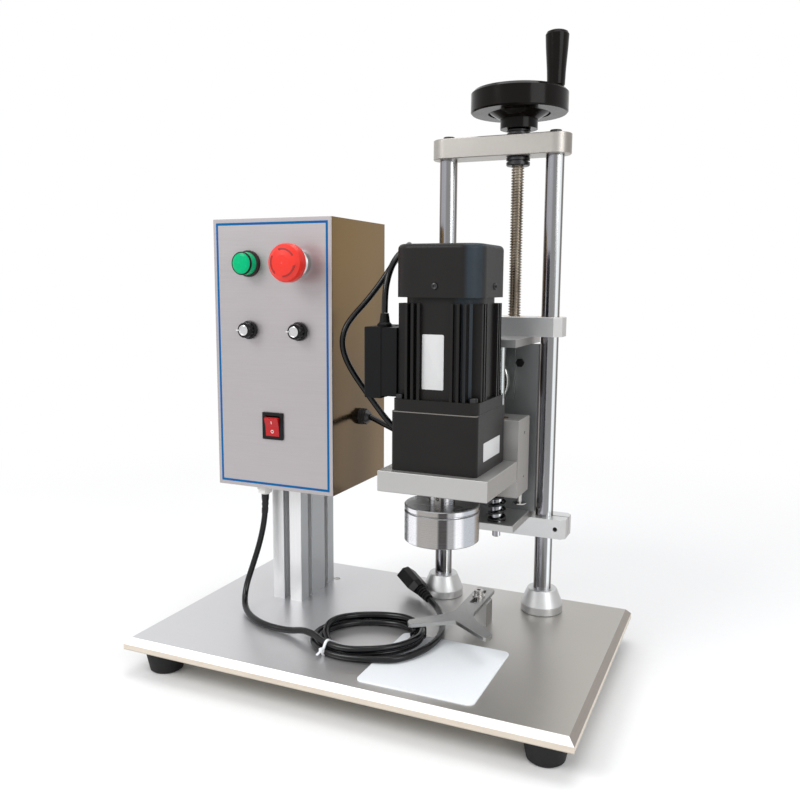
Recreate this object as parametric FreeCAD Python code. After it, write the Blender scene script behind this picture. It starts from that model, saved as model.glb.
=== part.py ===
"""Bench-top screw capping machine, built as named pieces in millimetres.

Every shape is drawn in the deck frame: X to the right and Y to the back from the left front
corner of the deck, Z up from its top face. Saving moves it to the row frame, whose origin is
the middle of the base at floor level.
"""
import os

import FreeCAD
import Part
from math import cos, hypot, pi, sin, tan

V = FreeCAD.Vector

# deck, feet and the move from the deck frame to the row frame
DECK_W = 470.0
DECK_D = 300.0
DECK_T = 12.0
DECK_BEVEL = 6.0
FOOT_H = 28.0
FOOT_R_TOP = 22.0
FOOT_R_LOW = 17.0
FOOT_INSET = 25.0
ORIGIN = V(-DECK_W / 2, -DECK_D / 2, FOOT_H + DECK_T)

# fits and gaps
RUN = 0.05
AIR = 0.3

# M8 frame screws
M8_R = 4.0
M8_LEN = 22.0
M8_HEAD_R = 6.5
M8_HEAD_H = 8.0
M8_CBORE_R = 7.2

# guide rods, their sockets and the bar across their tops
ROD_R = 10.0
ROD_LEFT_X = 257.0
ROD_RIGHT_X = 380.0
ROD_Y = 260.0
ROD_XS = (ROD_LEFT_X, ROD_RIGHT_X)
SOCKET_R = 24.0
SOCKET_TOP_R = 17.0
SOCKET_H = 27.0
SOCKET_BAND = 9.0
BAR_Z0 = 515.5
BAR_T = 22.0
BAR_Z1 = BAR_Z0 + BAR_T
BAR_END_R = 17.5
BAR_SOCKET = 12.0
BAR_CBORE = 4.0

# lead screw and handwheel
SCREW_X = 338.6
SCREW_R = 7.0
SCREW_END_Z = 250.0
JOURNAL_R = 6.0
NUT_R = 13.0
WHEEL_R = 53.0
WHEEL_T = 24.0
WHEEL_RING = 19.0
HUB_R = 20.5
HUB_T = 16.5
HUB_Z0 = BAR_Z1 + 7.0
WHEEL_Z0 = HUB_Z0 + HUB_T
WHEEL_Z1 = WHEEL_Z0 + WHEEL_T
GRIP_OFF = 41.0
GRIP_TURN = -6.0
GRIP_H = 56.0
GRIP_Z0 = WHEEL_Z1 + 1.0
GRIP_Z1 = GRIP_Z0 + GRIP_H
GRIP_R_LOW = 9.5
GRIP_R_TOP = 12.5

# post and control box
POST_X0 = 74.6
POST_Y0 = 162.0
POST_W = 40.0
POST_D = 80.0
BOX_X0 = 18.0
BOX_X1 = 171.0
BOX_Y0 = 137.0
BOX_Y1 = 272.0
BOX_Z0 = 141.0
BOX_Z1 = 447.0
SHEET = 1.5
LEFT_COL = 66.0
RIGHT_COL = 131.0
LAMP_Z = 397.5
KNOB_Z = 323.5
SWITCH_X = 94.5
SWITCH_Z = 215.0
GLAND_Y = 207.0
GLAND_Z = 221.6
SIDE_GLAND = 12.0
UNDER_GLAND = 10.0
CORD_X = 73.5
CORD_Y = 150.0

# middle of the head, the chuck and the motor
HEAD_X = 311.5

# carriage that rides the guide rods
UPPER_X0 = 241.0
UPPER_X1 = 396.0
BLOCK_Y0 = 242.0
BLOCK_Y1 = 278.0
UPPER_Z0 = 319.0
UPPER_Z1 = 340.5
CLAMP_X0 = 229.0
CLAMP_X1 = 408.0
CLAMP_Z0 = 92.0
CLAMP_Z1 = 114.0
PLATE_T = 8.0
FLOOR_X0 = 269.5
FLOOR_X1 = 367.5
FLOOR_Y0 = 173.5
SHELF_X0 = 262.4
SHELF_X1 = 364.6
SHELF_Y0 = 177.0
BACK_X0 = 264.0
BACK_X1 = 373.0
BACK_Y0 = 240.0
BUSH_R = 14.0
NUT_BODY_R = 12.0
GUIDE_R = 6.0
GUIDE_XS = (HEAD_X - 29.5, HEAD_X + 33.5)
GUIDE_Y = 188.0
GUIDE_TAIL_R = 4.4
GUIDE_TAIL_Z = 104.5
GUARD_T = 1.6
GUARD_Z0 = 257.5

# head that the cam lifts on the guide shafts
HEAD_X0 = HEAD_X - 55.5
HEAD_X1 = HEAD_X + 59.5
HEAD_Y0 = 174.0
HEAD_Y1 = 217.0
HEAD_Z0 = 152.0
HEAD_Z1 = 235.3
PLATE_Y0 = 73.0
PLATE_Z0 = 171.5
PLATE_Z1 = 192.4
STOP_X = HEAD_X1 - 7.0
STOP_Y = HEAD_Y1 - 7.5
MOTOR_Y = 127.0
GEAR_W = 90.0
GEAR_Z1 = 252.0
FLANGE_Z1 = 264.0
BODY_Z1 = 357.5
COVER_Z0 = 363.3
COVER_Z1 = 414.3
COVER_W = 90.0
SHAFT_R = 7.5
SHAFT_Y = MOTOR_Y - 18.0
BUSHING_R = 10.5

# junction box and the point where the motor cable leaves it
RELIEF_Z = 333.5
CABLE_TOP_X = HEAD_X - 65.0
CABLE_TOP_Y = 110.0

# capping chuck
CHUCK_R = 38.0
CHUCK_Z0 = 119.6
CHUCK_SPLIT = 150.5
CHUCK_DEPTH = 22.4
DISC_Z0 = 151.5
DISC_Z1 = 157.0
MOUTH_R = 27.0
GRIP_BORE_R = 21.0

# lift cam: a face groove whose radius changes evenly with the angle
CAM_X = HEAD_X - 2.5
CAM_Z = 270.0
CAM_R = 35.0
CAM_Y0 = 222.0
CAM_Y1 = 230.0
CAM_REST_R = 22.0
CAM_DOWN = 6.0
CAM_UP = 12.0
CAM_TURN_DOWN = pi / 2
CAM_TURN_UP = pi
CAM_RATE = (CAM_DOWN + CAM_UP) / (CAM_TURN_DOWN + CAM_TURN_UP)
ROLLER_R = 4.0

# pad under the chuck
PAD_X = HEAD_X + 9.5
PAD_Y = 71.3
PAD_W = 119.0
PAD_D = 119.5
PAD_T = 1.5

# bottle fork and its stand
FORK_X = 324.5
FORK_Z0 = 26.0
FORK_Z1 = 30.0
STAND_X0 = 311.0
STAND_X1 = 337.0
STAND_Y0 = 183.0
STAND_Y1 = 205.0
CLAMP_Y = 194.0

# cords
CORD_R = 3.5
CABLE_R = 3.3
COIL_X = 236.0
COIL_Y = 97.0
COIL_LONG = 63.0
COIL_SHORT = 52.5
COIL_WALL = 18.0
COIL_TURN = 23.9
COIL_Z0 = 1.7
COIL_Z1 = 15.0
TIE_AT = 218.0


def block(x0, x1, y0, y1, z0, z1):
    return Part.makeBox(x1 - x0, y1 - y0, z1 - z0, V(x0, y0, z0))


def upright(radius, x, y, z0, z1):
    return Part.makeCylinder(radius, z1 - z0, V(x, y, z0))


def along_y(radius, x, z, y0, y1):
    return Part.makeCylinder(radius, y1 - y0, V(x, y0, z), V(0, 1, 0))


def along_x(radius, y, z, x0, x1):
    return Part.makeCylinder(radius, x1 - x0, V(x0, y, z), V(1, 0, 0))


def turned(profile, x, y, axis=V(0, 0, 1)):
    """Solid of revolution about an upright line from (radius, height) points."""
    points = [V(r, 0, z) for r, z in profile]
    face = Part.Face(Part.makePolygon(points + points[:1]))
    solid = face.revolve(V(0, 0, 0), V(0, 0, 1), 360)
    solid.translate(V(x, y, 0))
    return solid


def turned_front(profile, x, z, y):
    """Solid of revolution about a line towards the front, from (radius, distance out) points."""
    solid = turned(profile, 0, 0)
    solid.rotate(V(0, 0, 0), V(1, 0, 0), 90)
    solid.translate(V(x, y, z))
    return solid


def prism(points, z0, z1):
    face = Part.Face(Part.makePolygon([V(x, y, z0) for x, y in points + points[:1]]))
    return face.extrude(V(0, 0, z1 - z0))


def rounded(x, y, width, depth, radius, z0, z1):
    """Upright prism with a rounded rectangular outline centred on (x, y)."""
    body = block(x - width / 2, x + width / 2, y - depth / 2, y + depth / 2, z0, z1)
    return body.makeFillet(radius, upright_edges(body))


def upright_edges(shape):
    return [e for e in shape.Edges if runs_along(e, 2)]


def runs_along(edge, axis):
    box = edge.BoundBox
    sizes = (box.XLength, box.YLength, box.ZLength)
    return sizes[axis] > 0.5 and max(sizes[:axis] + sizes[axis + 1:]) < 0.001


def edges_at(shape, z):
    return [e for e in shape.Edges if abs(e.BoundBox.ZMin - z) < 0.001 and e.BoundBox.ZLength < 0.001]


def hexagon(radius, x, y, z0, z1):
    points = [(x + radius * cos(k * pi / 3), y + radius * sin(k * pi / 3)) for k in range(6)]
    return prism(points, z0, z1)


def joined(shapes):
    whole = shapes[0]
    for shape in shapes[1:]:
        whole = whole.fuse(shape)
    return whole.removeSplitter()


def group(shapes):
    return Part.makeCompound(shapes)


def save(name, shape):
    moved = shape.copy()
    moved.translate(ORIGIN)
    moved.exportStep(os.path.join("parts", name + ".step"))



def foot_places():
    xs = (FOOT_INSET, DECK_W - FOOT_INSET)
    ys = (FOOT_INSET, DECK_D - FOOT_INSET)
    return [(x, y) for x in xs for y in ys]


def post_screw_places():
    x = POST_X0 + POST_W / 2
    return [(x, POST_Y0 + POST_D / 4), (x, POST_Y0 + 3 * POST_D / 4)]


def base_plate():
    edge = DECK_BEVEL
    plate = block(-edge, DECK_W + edge, -edge, DECK_D + edge, -DECK_T, 0)
    plate = plate.makeChamfer(DECK_BEVEL, edges_at(plate, 0))
    for x, y in foot_places():
        plate = plate.cut(upright(M8_R, x, y, -DECK_T, -1.5))
    for x, y in [(x, ROD_Y) for x in ROD_XS] + post_screw_places():
        plate = plate.cut(upright(M8_R + 0.3, x, y, -DECK_T, 0))
        plate = plate.cut(upright(M8_CBORE_R, x, y, -DECK_T, -3.5))
    return plate.cut(upright(4.5, POST_X0 + POST_W + 1.0, POST_Y0 + POST_D + 6.3, -6.0, 0))


def rubber_foot(x, y):
    low = -DECK_T - FOOT_H
    profile = [(M8_R + 0.4, -DECK_T), (FOOT_R_TOP - 1.5, -DECK_T), (FOOT_R_TOP, -DECK_T - 1.5)]
    profile += [(FOOT_R_TOP, -DECK_T - 5), (FOOT_R_LOW + 0.6, low + 1.5), (FOOT_R_LOW - 1.2, low)]
    profile += [(M8_CBORE_R, low), (M8_CBORE_R, -24.0), (M8_R + 0.4, -24.0)]
    return turned(profile, x, y)


def rubber_feet():
    return group([rubber_foot(x, y) for x, y in foot_places()])


def cap_screw(x, y, seat, up, radius=M8_R, length=M8_LEN, head_r=M8_HEAD_R, head_h=M8_HEAD_H):
    """Socket cap screw whose head sits on z = seat; its shank points up or down."""
    head = upright(head_r, x, y, -head_h, 0)
    head = head.makeChamfer(0.6, edges_at(head, -head_h))
    head = head.cut(hexagon(radius * 0.85, x, y, -head_h, -head_h * 0.45))
    screw = head.fuse(upright(radius, x, y, 0, length)).removeSplitter()
    if not up:
        screw.rotate(V(x, y, 0), V(1, 0, 0), 180)
    screw.translate(V(0, 0, seat))
    return screw


def frame_screws():
    screws = [cap_screw(x, y, -24.0, True) for x, y in foot_places()]
    screws += [cap_screw(x, ROD_Y, -3.5, True) for x in ROD_XS]
    screws += [cap_screw(x, y, -3.5, True) for x, y in post_screw_places()]
    screws += [cap_screw(x, ROD_Y, BAR_Z1 - BAR_CBORE, False) for x in ROD_XS]
    return group(screws)


def rod_socket(x):
    profile = [(ROD_R, 0), (SOCKET_R - 0.8, 0), (SOCKET_R, 0.8), (SOCKET_R, SOCKET_BAND)]
    profile += [(SOCKET_TOP_R, SOCKET_H - 0.8), (SOCKET_TOP_R - 1, SOCKET_H), (ROD_R, SOCKET_H)]
    return turned(profile, x, ROD_Y)


def guide_rod(x):
    top = BAR_Z0 + BAR_SOCKET
    rod = upright(ROD_R, x, ROD_Y, 0, top)
    rod = rod.cut(upright(M8_R, x, ROD_Y, 0, M8_LEN))
    return rod.cut(upright(M8_R, x, ROD_Y, top - M8_LEN, top))


def top_bar():
    width = ROD_RIGHT_X - ROD_LEFT_X + 2 * BAR_END_R
    middle = (ROD_LEFT_X + ROD_RIGHT_X) / 2
    bar = rounded(middle, ROD_Y, width, 2 * BAR_END_R, BAR_END_R - 0.01, BAR_Z0, BAR_Z1)
    bar = bar.makeChamfer(0.8, edges_at(bar, BAR_Z1) + edges_at(bar, BAR_Z0))
    for x in ROD_XS:
        bar = bar.cut(upright(ROD_R, x, ROD_Y, BAR_Z0, BAR_Z0 + BAR_SOCKET))
        bar = bar.cut(upright(M8_R + 0.3, x, ROD_Y, BAR_Z0, BAR_Z1))
        bar = bar.cut(upright(M8_CBORE_R, x, ROD_Y, BAR_Z1 - BAR_CBORE, BAR_Z1))
    return bar.cut(upright(JOURNAL_R + RUN, SCREW_X, ROD_Y, BAR_Z0, BAR_Z1))


def slot_cutter(x, y, turn):
    """T slot that opens at (x, y); turn 0 cuts towards +Y."""
    mouth = [(-4.1, -1), (4.1, -1), (4.1, 4.5), (8.5, 4.5), (8.5, 6.5), (4.0, 11.5)]
    points = mouth + [(-a, b) for a, b in reversed(mouth)]
    cutter = prism(points, 0, BOX_Z0)
    cutter.rotate(V(0, 0, 0), V(0, 0, 1), turn)
    cutter.translate(V(x, y, 0))
    return cutter


def profile_post():
    middle = POST_X0 + POST_W / 2
    right = POST_X0 + POST_W
    back = POST_Y0 + POST_D
    post = rounded(middle, POST_Y0 + POST_D / 2, POST_W, POST_D, 1.5, 0, BOX_Z0)
    post = post.cut(slot_cutter(middle, POST_Y0, 0)).cut(slot_cutter(middle, back, 180))
    for x, y in post_screw_places():
        post = post.cut(slot_cutter(right, y, 90)).cut(slot_cutter(POST_X0, y, -90))
        post = post.cut(upright(M8_R, x, y, 0, BOX_Z0))
    hollow = rounded(middle, POST_Y0 + POST_D / 2, 12, 9, 1.5, 0, BOX_Z0)
    return post.cut(hollow)


def bottle_pad():
    pad = rounded(PAD_X, PAD_Y, PAD_W, PAD_D, 7.0, 0, PAD_T)
    return pad.makeChamfer(0.5, edges_at(pad, PAD_T))



def box_shell():
    shell = block(BOX_X0, BOX_X1, BOX_Y0, BOX_Y1, BOX_Z0, BOX_Z1)
    shell = shell.makeFillet(1.2, upright_edges(shell))
    inner = block(BOX_X0 + SHEET, BOX_X1 - SHEET, BOX_Y0 + SHEET, BOX_Y1, BOX_Z0 + SHEET, BOX_Z1 - SHEET)
    shell = shell.cut(inner)
    front = (BOX_Y0 - 1, BOX_Y0 + SHEET + 1)
    shell = shell.cut(along_y(11.2, LEFT_COL, LAMP_Z, *front))
    shell = shell.cut(along_y(11.2, RIGHT_COL, LAMP_Z, *front))
    for x in (LEFT_COL, RIGHT_COL):
        shell = shell.cut(along_y(3.6, x, KNOB_Z, *front))
    shell = shell.cut(block(SWITCH_X - 11, SWITCH_X + 11, *front, SWITCH_Z - 13.5, SWITCH_Z + 13.5))
    shell = shell.cut(along_x(6.9, GLAND_Y, GLAND_Z, BOX_X1 - 3, BOX_X1 + 1))
    return shell.cut(upright(6.5, CORD_X, CORD_Y, BOX_Z0 - 1, BOX_Z0 + 3))


def box_back():
    cover = block(BOX_X0 + SHEET, BOX_X1 - SHEET, BOX_Y1 - SHEET, BOX_Y1, BOX_Z0 + SHEET, BOX_Z1 - SHEET)
    for row in range(6):
        z = BOX_Z1 - 60 - row * 9
        cover = cover.cut(block(64, 125, BOX_Y1 - 3, BOX_Y1 + 1, z, z + 3))
    return cover


def lamp_bezel():
    profile = [(10.0, 4.5), (12.6, 4.5), (14.6, 3.0), (14.8, 0.0), (10.8, 0.0), (10.8, -34.0), (0, -34.0)]
    profile += [(0, -3.0), (10.0, -3.0)]
    return turned_front(profile, LEFT_COL, LAMP_Z, BOX_Y0)


def lamp_lens():
    profile = [(0, -2.9), (9.9, -2.9), (9.9, 4.6), (12.6, 4.6), (12.6, 13.0), (11.6, 15.6), (8.5, 17.2), (0, 18.0)]
    return turned_front(profile, LEFT_COL, LAMP_Z, BOX_Y0)


def estop_collar():
    profile = [(8.0, 8.0), (12.0, 8.0), (14.5, 6.0), (14.8, 0.0), (10.8, 0.0), (10.8, -18.0), (8.0, -18.0)]
    collar = turned_front(profile, RIGHT_COL, LAMP_Z, BOX_Y0)
    y0 = BOX_Y0 + 18.0
    contacts = block(RIGHT_COL - 14, RIGHT_COL + 14, y0, y0 + 30, LAMP_Z - 14, LAMP_Z + 14)
    return joined([collar, contacts])


def estop_button():
    profile = [(0, -12.5), (8.0 - AIR, -12.5), (8.0 - AIR, 13.3), (11.5, 13.5), (11.5, 18.0), (19.5, 19.0)]
    profile += [(20.8, 21.0), (20.8, 28.0), (19.4, 31.5), (15.0, 34.5), (8.0, 35.7), (0, 36.0)]
    return turned_front(profile, RIGHT_COL, LAMP_Z, BOX_Y0)


def speed_control(x):
    """Potentiometer with its round shaft out of the panel, on its own circuit board."""
    y = BOX_Y0 + SHEET
    pot = along_y(8.0, x, KNOB_Z, y, y + 10)
    bush = along_y(3.5, x, KNOB_Z, BOX_Y0 - 1.0, y)
    shaft = along_y(2.5, x, KNOB_Z, BOX_Y0 - 9, BOX_Y0 - 1)
    board = block(x - 24, x + 24, y + 10, y + 11.6, KNOB_Z - 52, KNOB_Z + 14)
    sink = block(x - 18, x + 18, y + 11.6, y + 30, KNOB_Z - 46, KNOB_Z - 24)
    return joined([pot, bush, shaft, board, sink])


def speed_controls():
    return group([speed_control(LEFT_COL), speed_control(RIGHT_COL)])


def knob(x):
    bore = 2.5 + RUN
    profile = [(bore, 1.5), (10.4, 1.5), (10.4, 4.0), (8.8, 5.0), (8.4, 13.0), (7.4, 14.0), (0, 14.0)]
    profile += [(0, 9.2), (bore, 9.2)]
    body = turned_front(profile, x, KNOB_Z, BOX_Y0)
    for k in range(12):
        angle = k * pi / 6 + 0.26
        groove = along_y(0.9, x + 9.1 * cos(angle), KNOB_Z + 9.1 * sin(angle), BOX_Y0 - 13, BOX_Y0 - 5)
        body = body.cut(groove)
    return body


def switch_frame():
    y = BOX_Y0
    rim = block(SWITCH_X - 13.5, SWITCH_X + 13.5, y - 2.0, y, SWITCH_Z - 15.5, SWITCH_Z + 15.5)
    rim = rim.makeFillet(1.0, [e for e in rim.Edges if runs_along(e, 1)])
    case = block(SWITCH_X - 10.8, SWITCH_X + 10.8, y, y + 22, SWITCH_Z - 13.3, SWITCH_Z + 13.3)
    well = block(SWITCH_X - 9.3, SWITCH_X + 9.3, y - 3, y + 14, SWITCH_Z - 11.8, SWITCH_Z + 11.8)
    return joined([rim, case]).cut(well)


def switch_rocker():
    """Rocker with its lower half pressed in, pivoting 2 mm behind the panel."""
    y = BOX_Y0 + 2
    half = 11.2
    outline = [(-3.4, half), (-6.2, half - 0.6), (-5.0, 0), (-6.2, 0.6 - half), (-3.4, -half), (5.0, -6.0), (5.0, 6.0)]
    points = [V(SWITCH_X - 8.8, y + a, SWITCH_Z + b) for a, b in outline]
    rocker = Part.Face(Part.makePolygon(points + points[:1])).extrude(V(17.6, 0, 0))
    rocker.rotate(V(SWITCH_X, y, SWITCH_Z), V(1, 0, 0), 10)
    return joined([rocker, along_x(1.5, y, SWITCH_Z, SWITCH_X - 9.2, SWITCH_X + 9.2)])


def gland(height, body_r, hex_r, bore):
    """Cable gland drawn upright from its seat, with its thread below the seat."""
    profile = [(bore, -6), (body_r - 1, -6), (body_r - 1, 0), (body_r + 2, 0), (body_r + 2, 4), (body_r, 4)]
    profile += [(body_r, height - 4), (body_r - 2, height), (bore, height)]
    body = turned(profile, 0, 0)
    return joined([body, hexagon(hex_r, 0, 0, 4, 8).cut(upright(bore, 0, 0, 3, 9))])


def cable_glands():
    side = gland(SIDE_GLAND, 7.6, 9.4, CABLE_R)
    side.rotate(V(0, 0, 0), V(0, 1, 0), 90)
    side.translate(V(BOX_X1, GLAND_Y, GLAND_Z))
    under = gland(UNDER_GLAND, 7.2, 8.6, CORD_R)
    under.rotate(V(0, 0, 0), V(1, 0, 0), 180)
    under.translate(V(CORD_X, CORD_Y, BOX_Z0))
    return group([side, under])



def tube(points, radius, label):
    """Tube of straight runs joined by tangent arcs through the points of a route."""
    pts = [V(*p) for p in points]
    edges = []
    start = pts[0]
    radii = []
    length = 0.0
    for before, corner, after in zip(pts, pts[1:], pts[2:]):
        run_in = corner.sub(before)
        run_out = after.sub(corner)
        short = min(run_in.Length, run_out.Length)
        turn = run_in.getAngle(run_out)
        back = 0.45 * short
        radii.append(back / tan(turn / 2))
        u = V(run_in).normalize()
        w = V(run_out).normalize()
        a = corner.sub(V(u).multiply(back))
        b = corner.add(V(w).multiply(back))
        bisect = V(w).sub(u).normalize()
        rise = radii[-1] / cos(turn / 2) - radii[-1]
        mid = corner.add(bisect.multiply(rise))
        edges.append(Part.LineSegment(start, a).toShape())
        edges.append(Part.Arc(a, mid, b).toShape())
        start = b
    edges.append(Part.LineSegment(start, pts[-1]).toShape())
    length = sum(e.Length for e in edges)
    wire = Part.Wire(edges)
    ring = Part.Wire(Part.makeCircle(radius, pts[0], pts[1].sub(pts[0])))
    solid = wire.makePipeShell([ring], True, False)
    ratio = solid.Volume / (pi * radius ** 2 * length)
    print(label, "length", round(length), "radii", [round(r) for r in radii], "volume ratio", round(ratio, 4))
    return solid


LEAD_ROUTE = [(73.5, 150, 131), (73.6, 149.6, 114), (72.2, 147, 92), (68.3, 142, 68), (63.6, 135, 45),
              (60.8, 126.8, 26), (63.2, 118.5, 13), (71, 108, 6.3), (84.5, 96, 4.0), (103, 84.6, 3.9),
              (121.5, 78.3, 3.9), (139, 76.6, 4.0), (154, 75, 5.6), (166.5, 71.8, 9.8), (178, 68, 11.6),
              (189, 63.2, 11.6)]
TAIL_ROUTE = [(252, 52.5, 8.2), (268, 51.5, 5.8), (283, 58.5, 5.6), (294, 73, 5.6), (301.5, 92, 5.6),
              (304.5, 114, 5.6), (301.5, 140, 4.8), (292.5, 166, 4.6), (280, 188, 6.6), (269, 200.5, 8.6),
              (259, 208.6, 10.6)]


def power_cord():
    lead = tube(LEAD_ROUTE, CORD_R, "power cord lead")
    tail = tube(TAIL_ROUTE, CORD_R, "power cord tail")
    return group([lead, tail])


def cord_coil():
    """Outer shape of the tied turns: a flat oval ring with its corners taken off."""
    ring = oval(COIL_LONG, COIL_SHORT, COIL_Z0, COIL_Z1)
    ring = ring.makeChamfer(3.5, edges_at(ring, COIL_Z0) + edges_at(ring, COIL_Z1))
    hole = oval(COIL_LONG - COIL_WALL, COIL_SHORT - COIL_WALL, COIL_Z0, COIL_Z1)
    ring = ring.cut(hole)
    ring.rotate(V(0, 0, 0), V(0, 0, 1), COIL_TURN)
    ring.translate(V(COIL_X, COIL_Y, 0))
    return ring


def oval(long_r, short_r, z0, z1):
    curve = Part.Ellipse(V(0, 0, z0), long_r, short_r)
    return Part.Face(Part.Wire(curve.toShape())).extrude(V(0, 0, z1 - z0))


PLUG_AT = V(*TAIL_ROUTE[-1])
PLUG_ROLL = 38.0
PLUG_RISE = 13.0
PLUG_TURN = 141.5


def cord_plug():
    """Appliance connector on its ribbed strain relief, drawn along +X and then tipped up."""
    relief = Part.makeCone(5.0, 7.2, 20, V(0, 0, 0), V(1, 0, 0))
    for k in range(4):
        relief = relief.cut(along_x(9.0, 0, 0, 3.5 + 4 * k, 5.0 + 4 * k).cut(along_x(4.6, 0, 0, 3, 20)))
    outline = [(-12.0, -8.3), (12.0, -8.3), (12.0, 3.2), (7.0, 8.3), (-7.0, 8.3), (-12.0, 3.2)]
    neck = Part.Face(Part.makePolygon([V(19, y * 0.75, z * 0.85) for y, z in outline + outline[:1]]))
    body = Part.Face(Part.makePolygon([V(27, y, z) for y, z in outline + outline[:1]]))
    shoulder = Part.makeLoft([neck.OuterWire, body.OuterWire], True)
    plug = joined([relief, shoulder, body.extrude(V(29, 0, 0))])
    for y, z in ((-6.0, -1.8), (0.0, 2.0), (6.0, -1.8)):
        plug = plug.cut(block(42, 57, y - 1.2, y + 1.2, z - 2.6, z + 2.6))
    plug.rotate(V(0, 0, 0), V(1, 0, 0), PLUG_ROLL)
    plug.rotate(V(0, 0, 0), V(0, 1, 0), -PLUG_RISE)
    plug.rotate(V(0, 0, 0), V(0, 0, 1), PLUG_TURN)
    plug.translate(PLUG_AT)
    return plug


def cord_tie():
    """Flat band wrapped over the tied turns, on their left front side."""
    half = COIL_WALL / 2
    outer = block(-half - 1.6, half + 1.6, -1.5, 1.5, COIL_Z0 - 1.4, COIL_Z1 + 1.4)
    inner = block(-half - 0.2, half + 0.2, -2.0, 2.0, COIL_Z0 - 0.2, COIL_Z1 + 0.2)
    band = outer.cut(inner)
    lock = block(half + 1.4, half + 6, -2.4, 2.4, COIL_Z0 + 3, COIL_Z0 + 7)
    tie = joined([band, lock])
    angle = TIE_AT * pi / 180
    u = (COIL_LONG - half) * cos(angle)
    w = (COIL_SHORT - half) * sin(angle)
    tie.rotate(V(0, 0, 0), V(0, 0, 1), TIE_AT + 6.0)
    tie.translate(V(u, w, 0))
    tie.rotate(V(0, 0, 0), V(0, 0, 1), COIL_TURN)
    tie.translate(V(COIL_X, COIL_Y, 0))
    return tie


CABLE_ROUTE = [(183, 207, 221.6), (194, 207.2, 217.2), (207, 208.6, 211), (221, 208.2, 206), (234, 203.4, 203.4),
               (243.4, 193.2, 202.1), (247.1, 180.1, 205.2), (244, 168, 211.5), (235, 160.4, 219.8), (223.5, 160, 230.8),
               (211, 162.8, 243.5), (199, 162, 258.5), (188.5, 155.5, 276.5), (181, 148.5, 295), (178, 146, 312.5),
               (180.6, 149.3, 328.5), (187.3, 156.3, 341.5), (196, 164, 353.5), (205, 171, 367), (214.5, 177.5, 382.5),
               (222.3, 183.9, 398.1), (232.9, 182.9, 409.8), (244.3, 174.2, 416.6), (251.9, 160.4, 417.2),
               (252.8, 143.6, 411.4), (249.5, 129, 401.5), (CABLE_TOP_X + 1, 118.5, 388),
               (CABLE_TOP_X, 112.5, 373), (CABLE_TOP_X, 110.2, 359), (CABLE_TOP_X, CABLE_TOP_Y, RELIEF_Z + 13.3)]


def motor_cable():
    return tube(CABLE_ROUTE, CABLE_R, "motor cable")



def locator_stand():
    stand = block(STAND_X0, STAND_X1, STAND_Y0, STAND_Y1, 0, FORK_Z0)
    stand = stand.makeChamfer(0.8, edges_at(stand, FORK_Z0))
    return stand.cut(upright(3.0, FORK_X, CLAMP_Y, FORK_Z0 - 16, FORK_Z0))


def locator_screw():
    washer = upright(7.0, FORK_X, CLAMP_Y, FORK_Z1, FORK_Z1 + 1.4)
    screw = cap_screw(FORK_X, CLAMP_Y, FORK_Z1 + 1.4, False, 3.0, 20.0, 5.4, 6.0)
    return joined([washer.cut(upright(3.0, FORK_X, CLAMP_Y, FORK_Z1, FORK_Z1 + 2)), screw])


def locator_fork():
    half = [(0, 119.5), (38.5, 92.5), (41.5, 92.0), (44.5, 96.0), (45.0, 102.0), (40.0, 107.5), (19.5, 129.0)]
    half += [(13.0, 137.0), (10.5, 146.0), (10.5, 219.0), (7.5, 222.0)]
    points = [(FORK_X + a, b) for a, b in half]
    points += [(FORK_X - a, b) for a, b in reversed(half[1:])]
    fork = prism(points, FORK_Z0, FORK_Z1)
    slot = block(FORK_X - 3.5, FORK_X + 3.5, 175.5, 210.5, FORK_Z0, FORK_Z1)
    ends = [upright(3.5, FORK_X, y, FORK_Z0, FORK_Z1) for y in (175.5, 210.5)]
    fork = fork.cut(slot).cut(ends[0]).cut(ends[1])
    return fork.makeChamfer(0.4, [e for e in edges_at(fork, FORK_Z1) if e.Length > 30])



def lead_screw():
    shaft = upright(SCREW_R, SCREW_X, ROD_Y, SCREW_END_Z, BAR_Z0 - AIR)
    shaft = shaft.makeChamfer(1.0, edges_at(shaft, SCREW_END_Z))
    journal = upright(JOURNAL_R, SCREW_X, ROD_Y, BAR_Z0 - AIR, WHEEL_Z0 + 9)
    return joined([shaft, journal])


def thrust_nut(z0, z1, bore):
    groove = (z0 + z1) / 2
    profile = [(bore, z0), (NUT_R - 1, z0), (NUT_R, z0 + 1), (NUT_R, groove - 1), (NUT_R - 2, groove - 0.6)]
    profile += [(NUT_R - 2, groove + 0.6), (NUT_R, groove + 1), (NUT_R, z1 - 1), (NUT_R - 1, z1), (bore, z1)]
    return turned(profile, SCREW_X, ROD_Y)


def thrust_nuts():
    lower = thrust_nut(BAR_Z0 - AIR - 9.8, BAR_Z0 - AIR, SCREW_R)
    upper = thrust_nut(BAR_Z1 + AIR, HUB_Z0, JOURNAL_R)
    return group([upper, lower])


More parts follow.
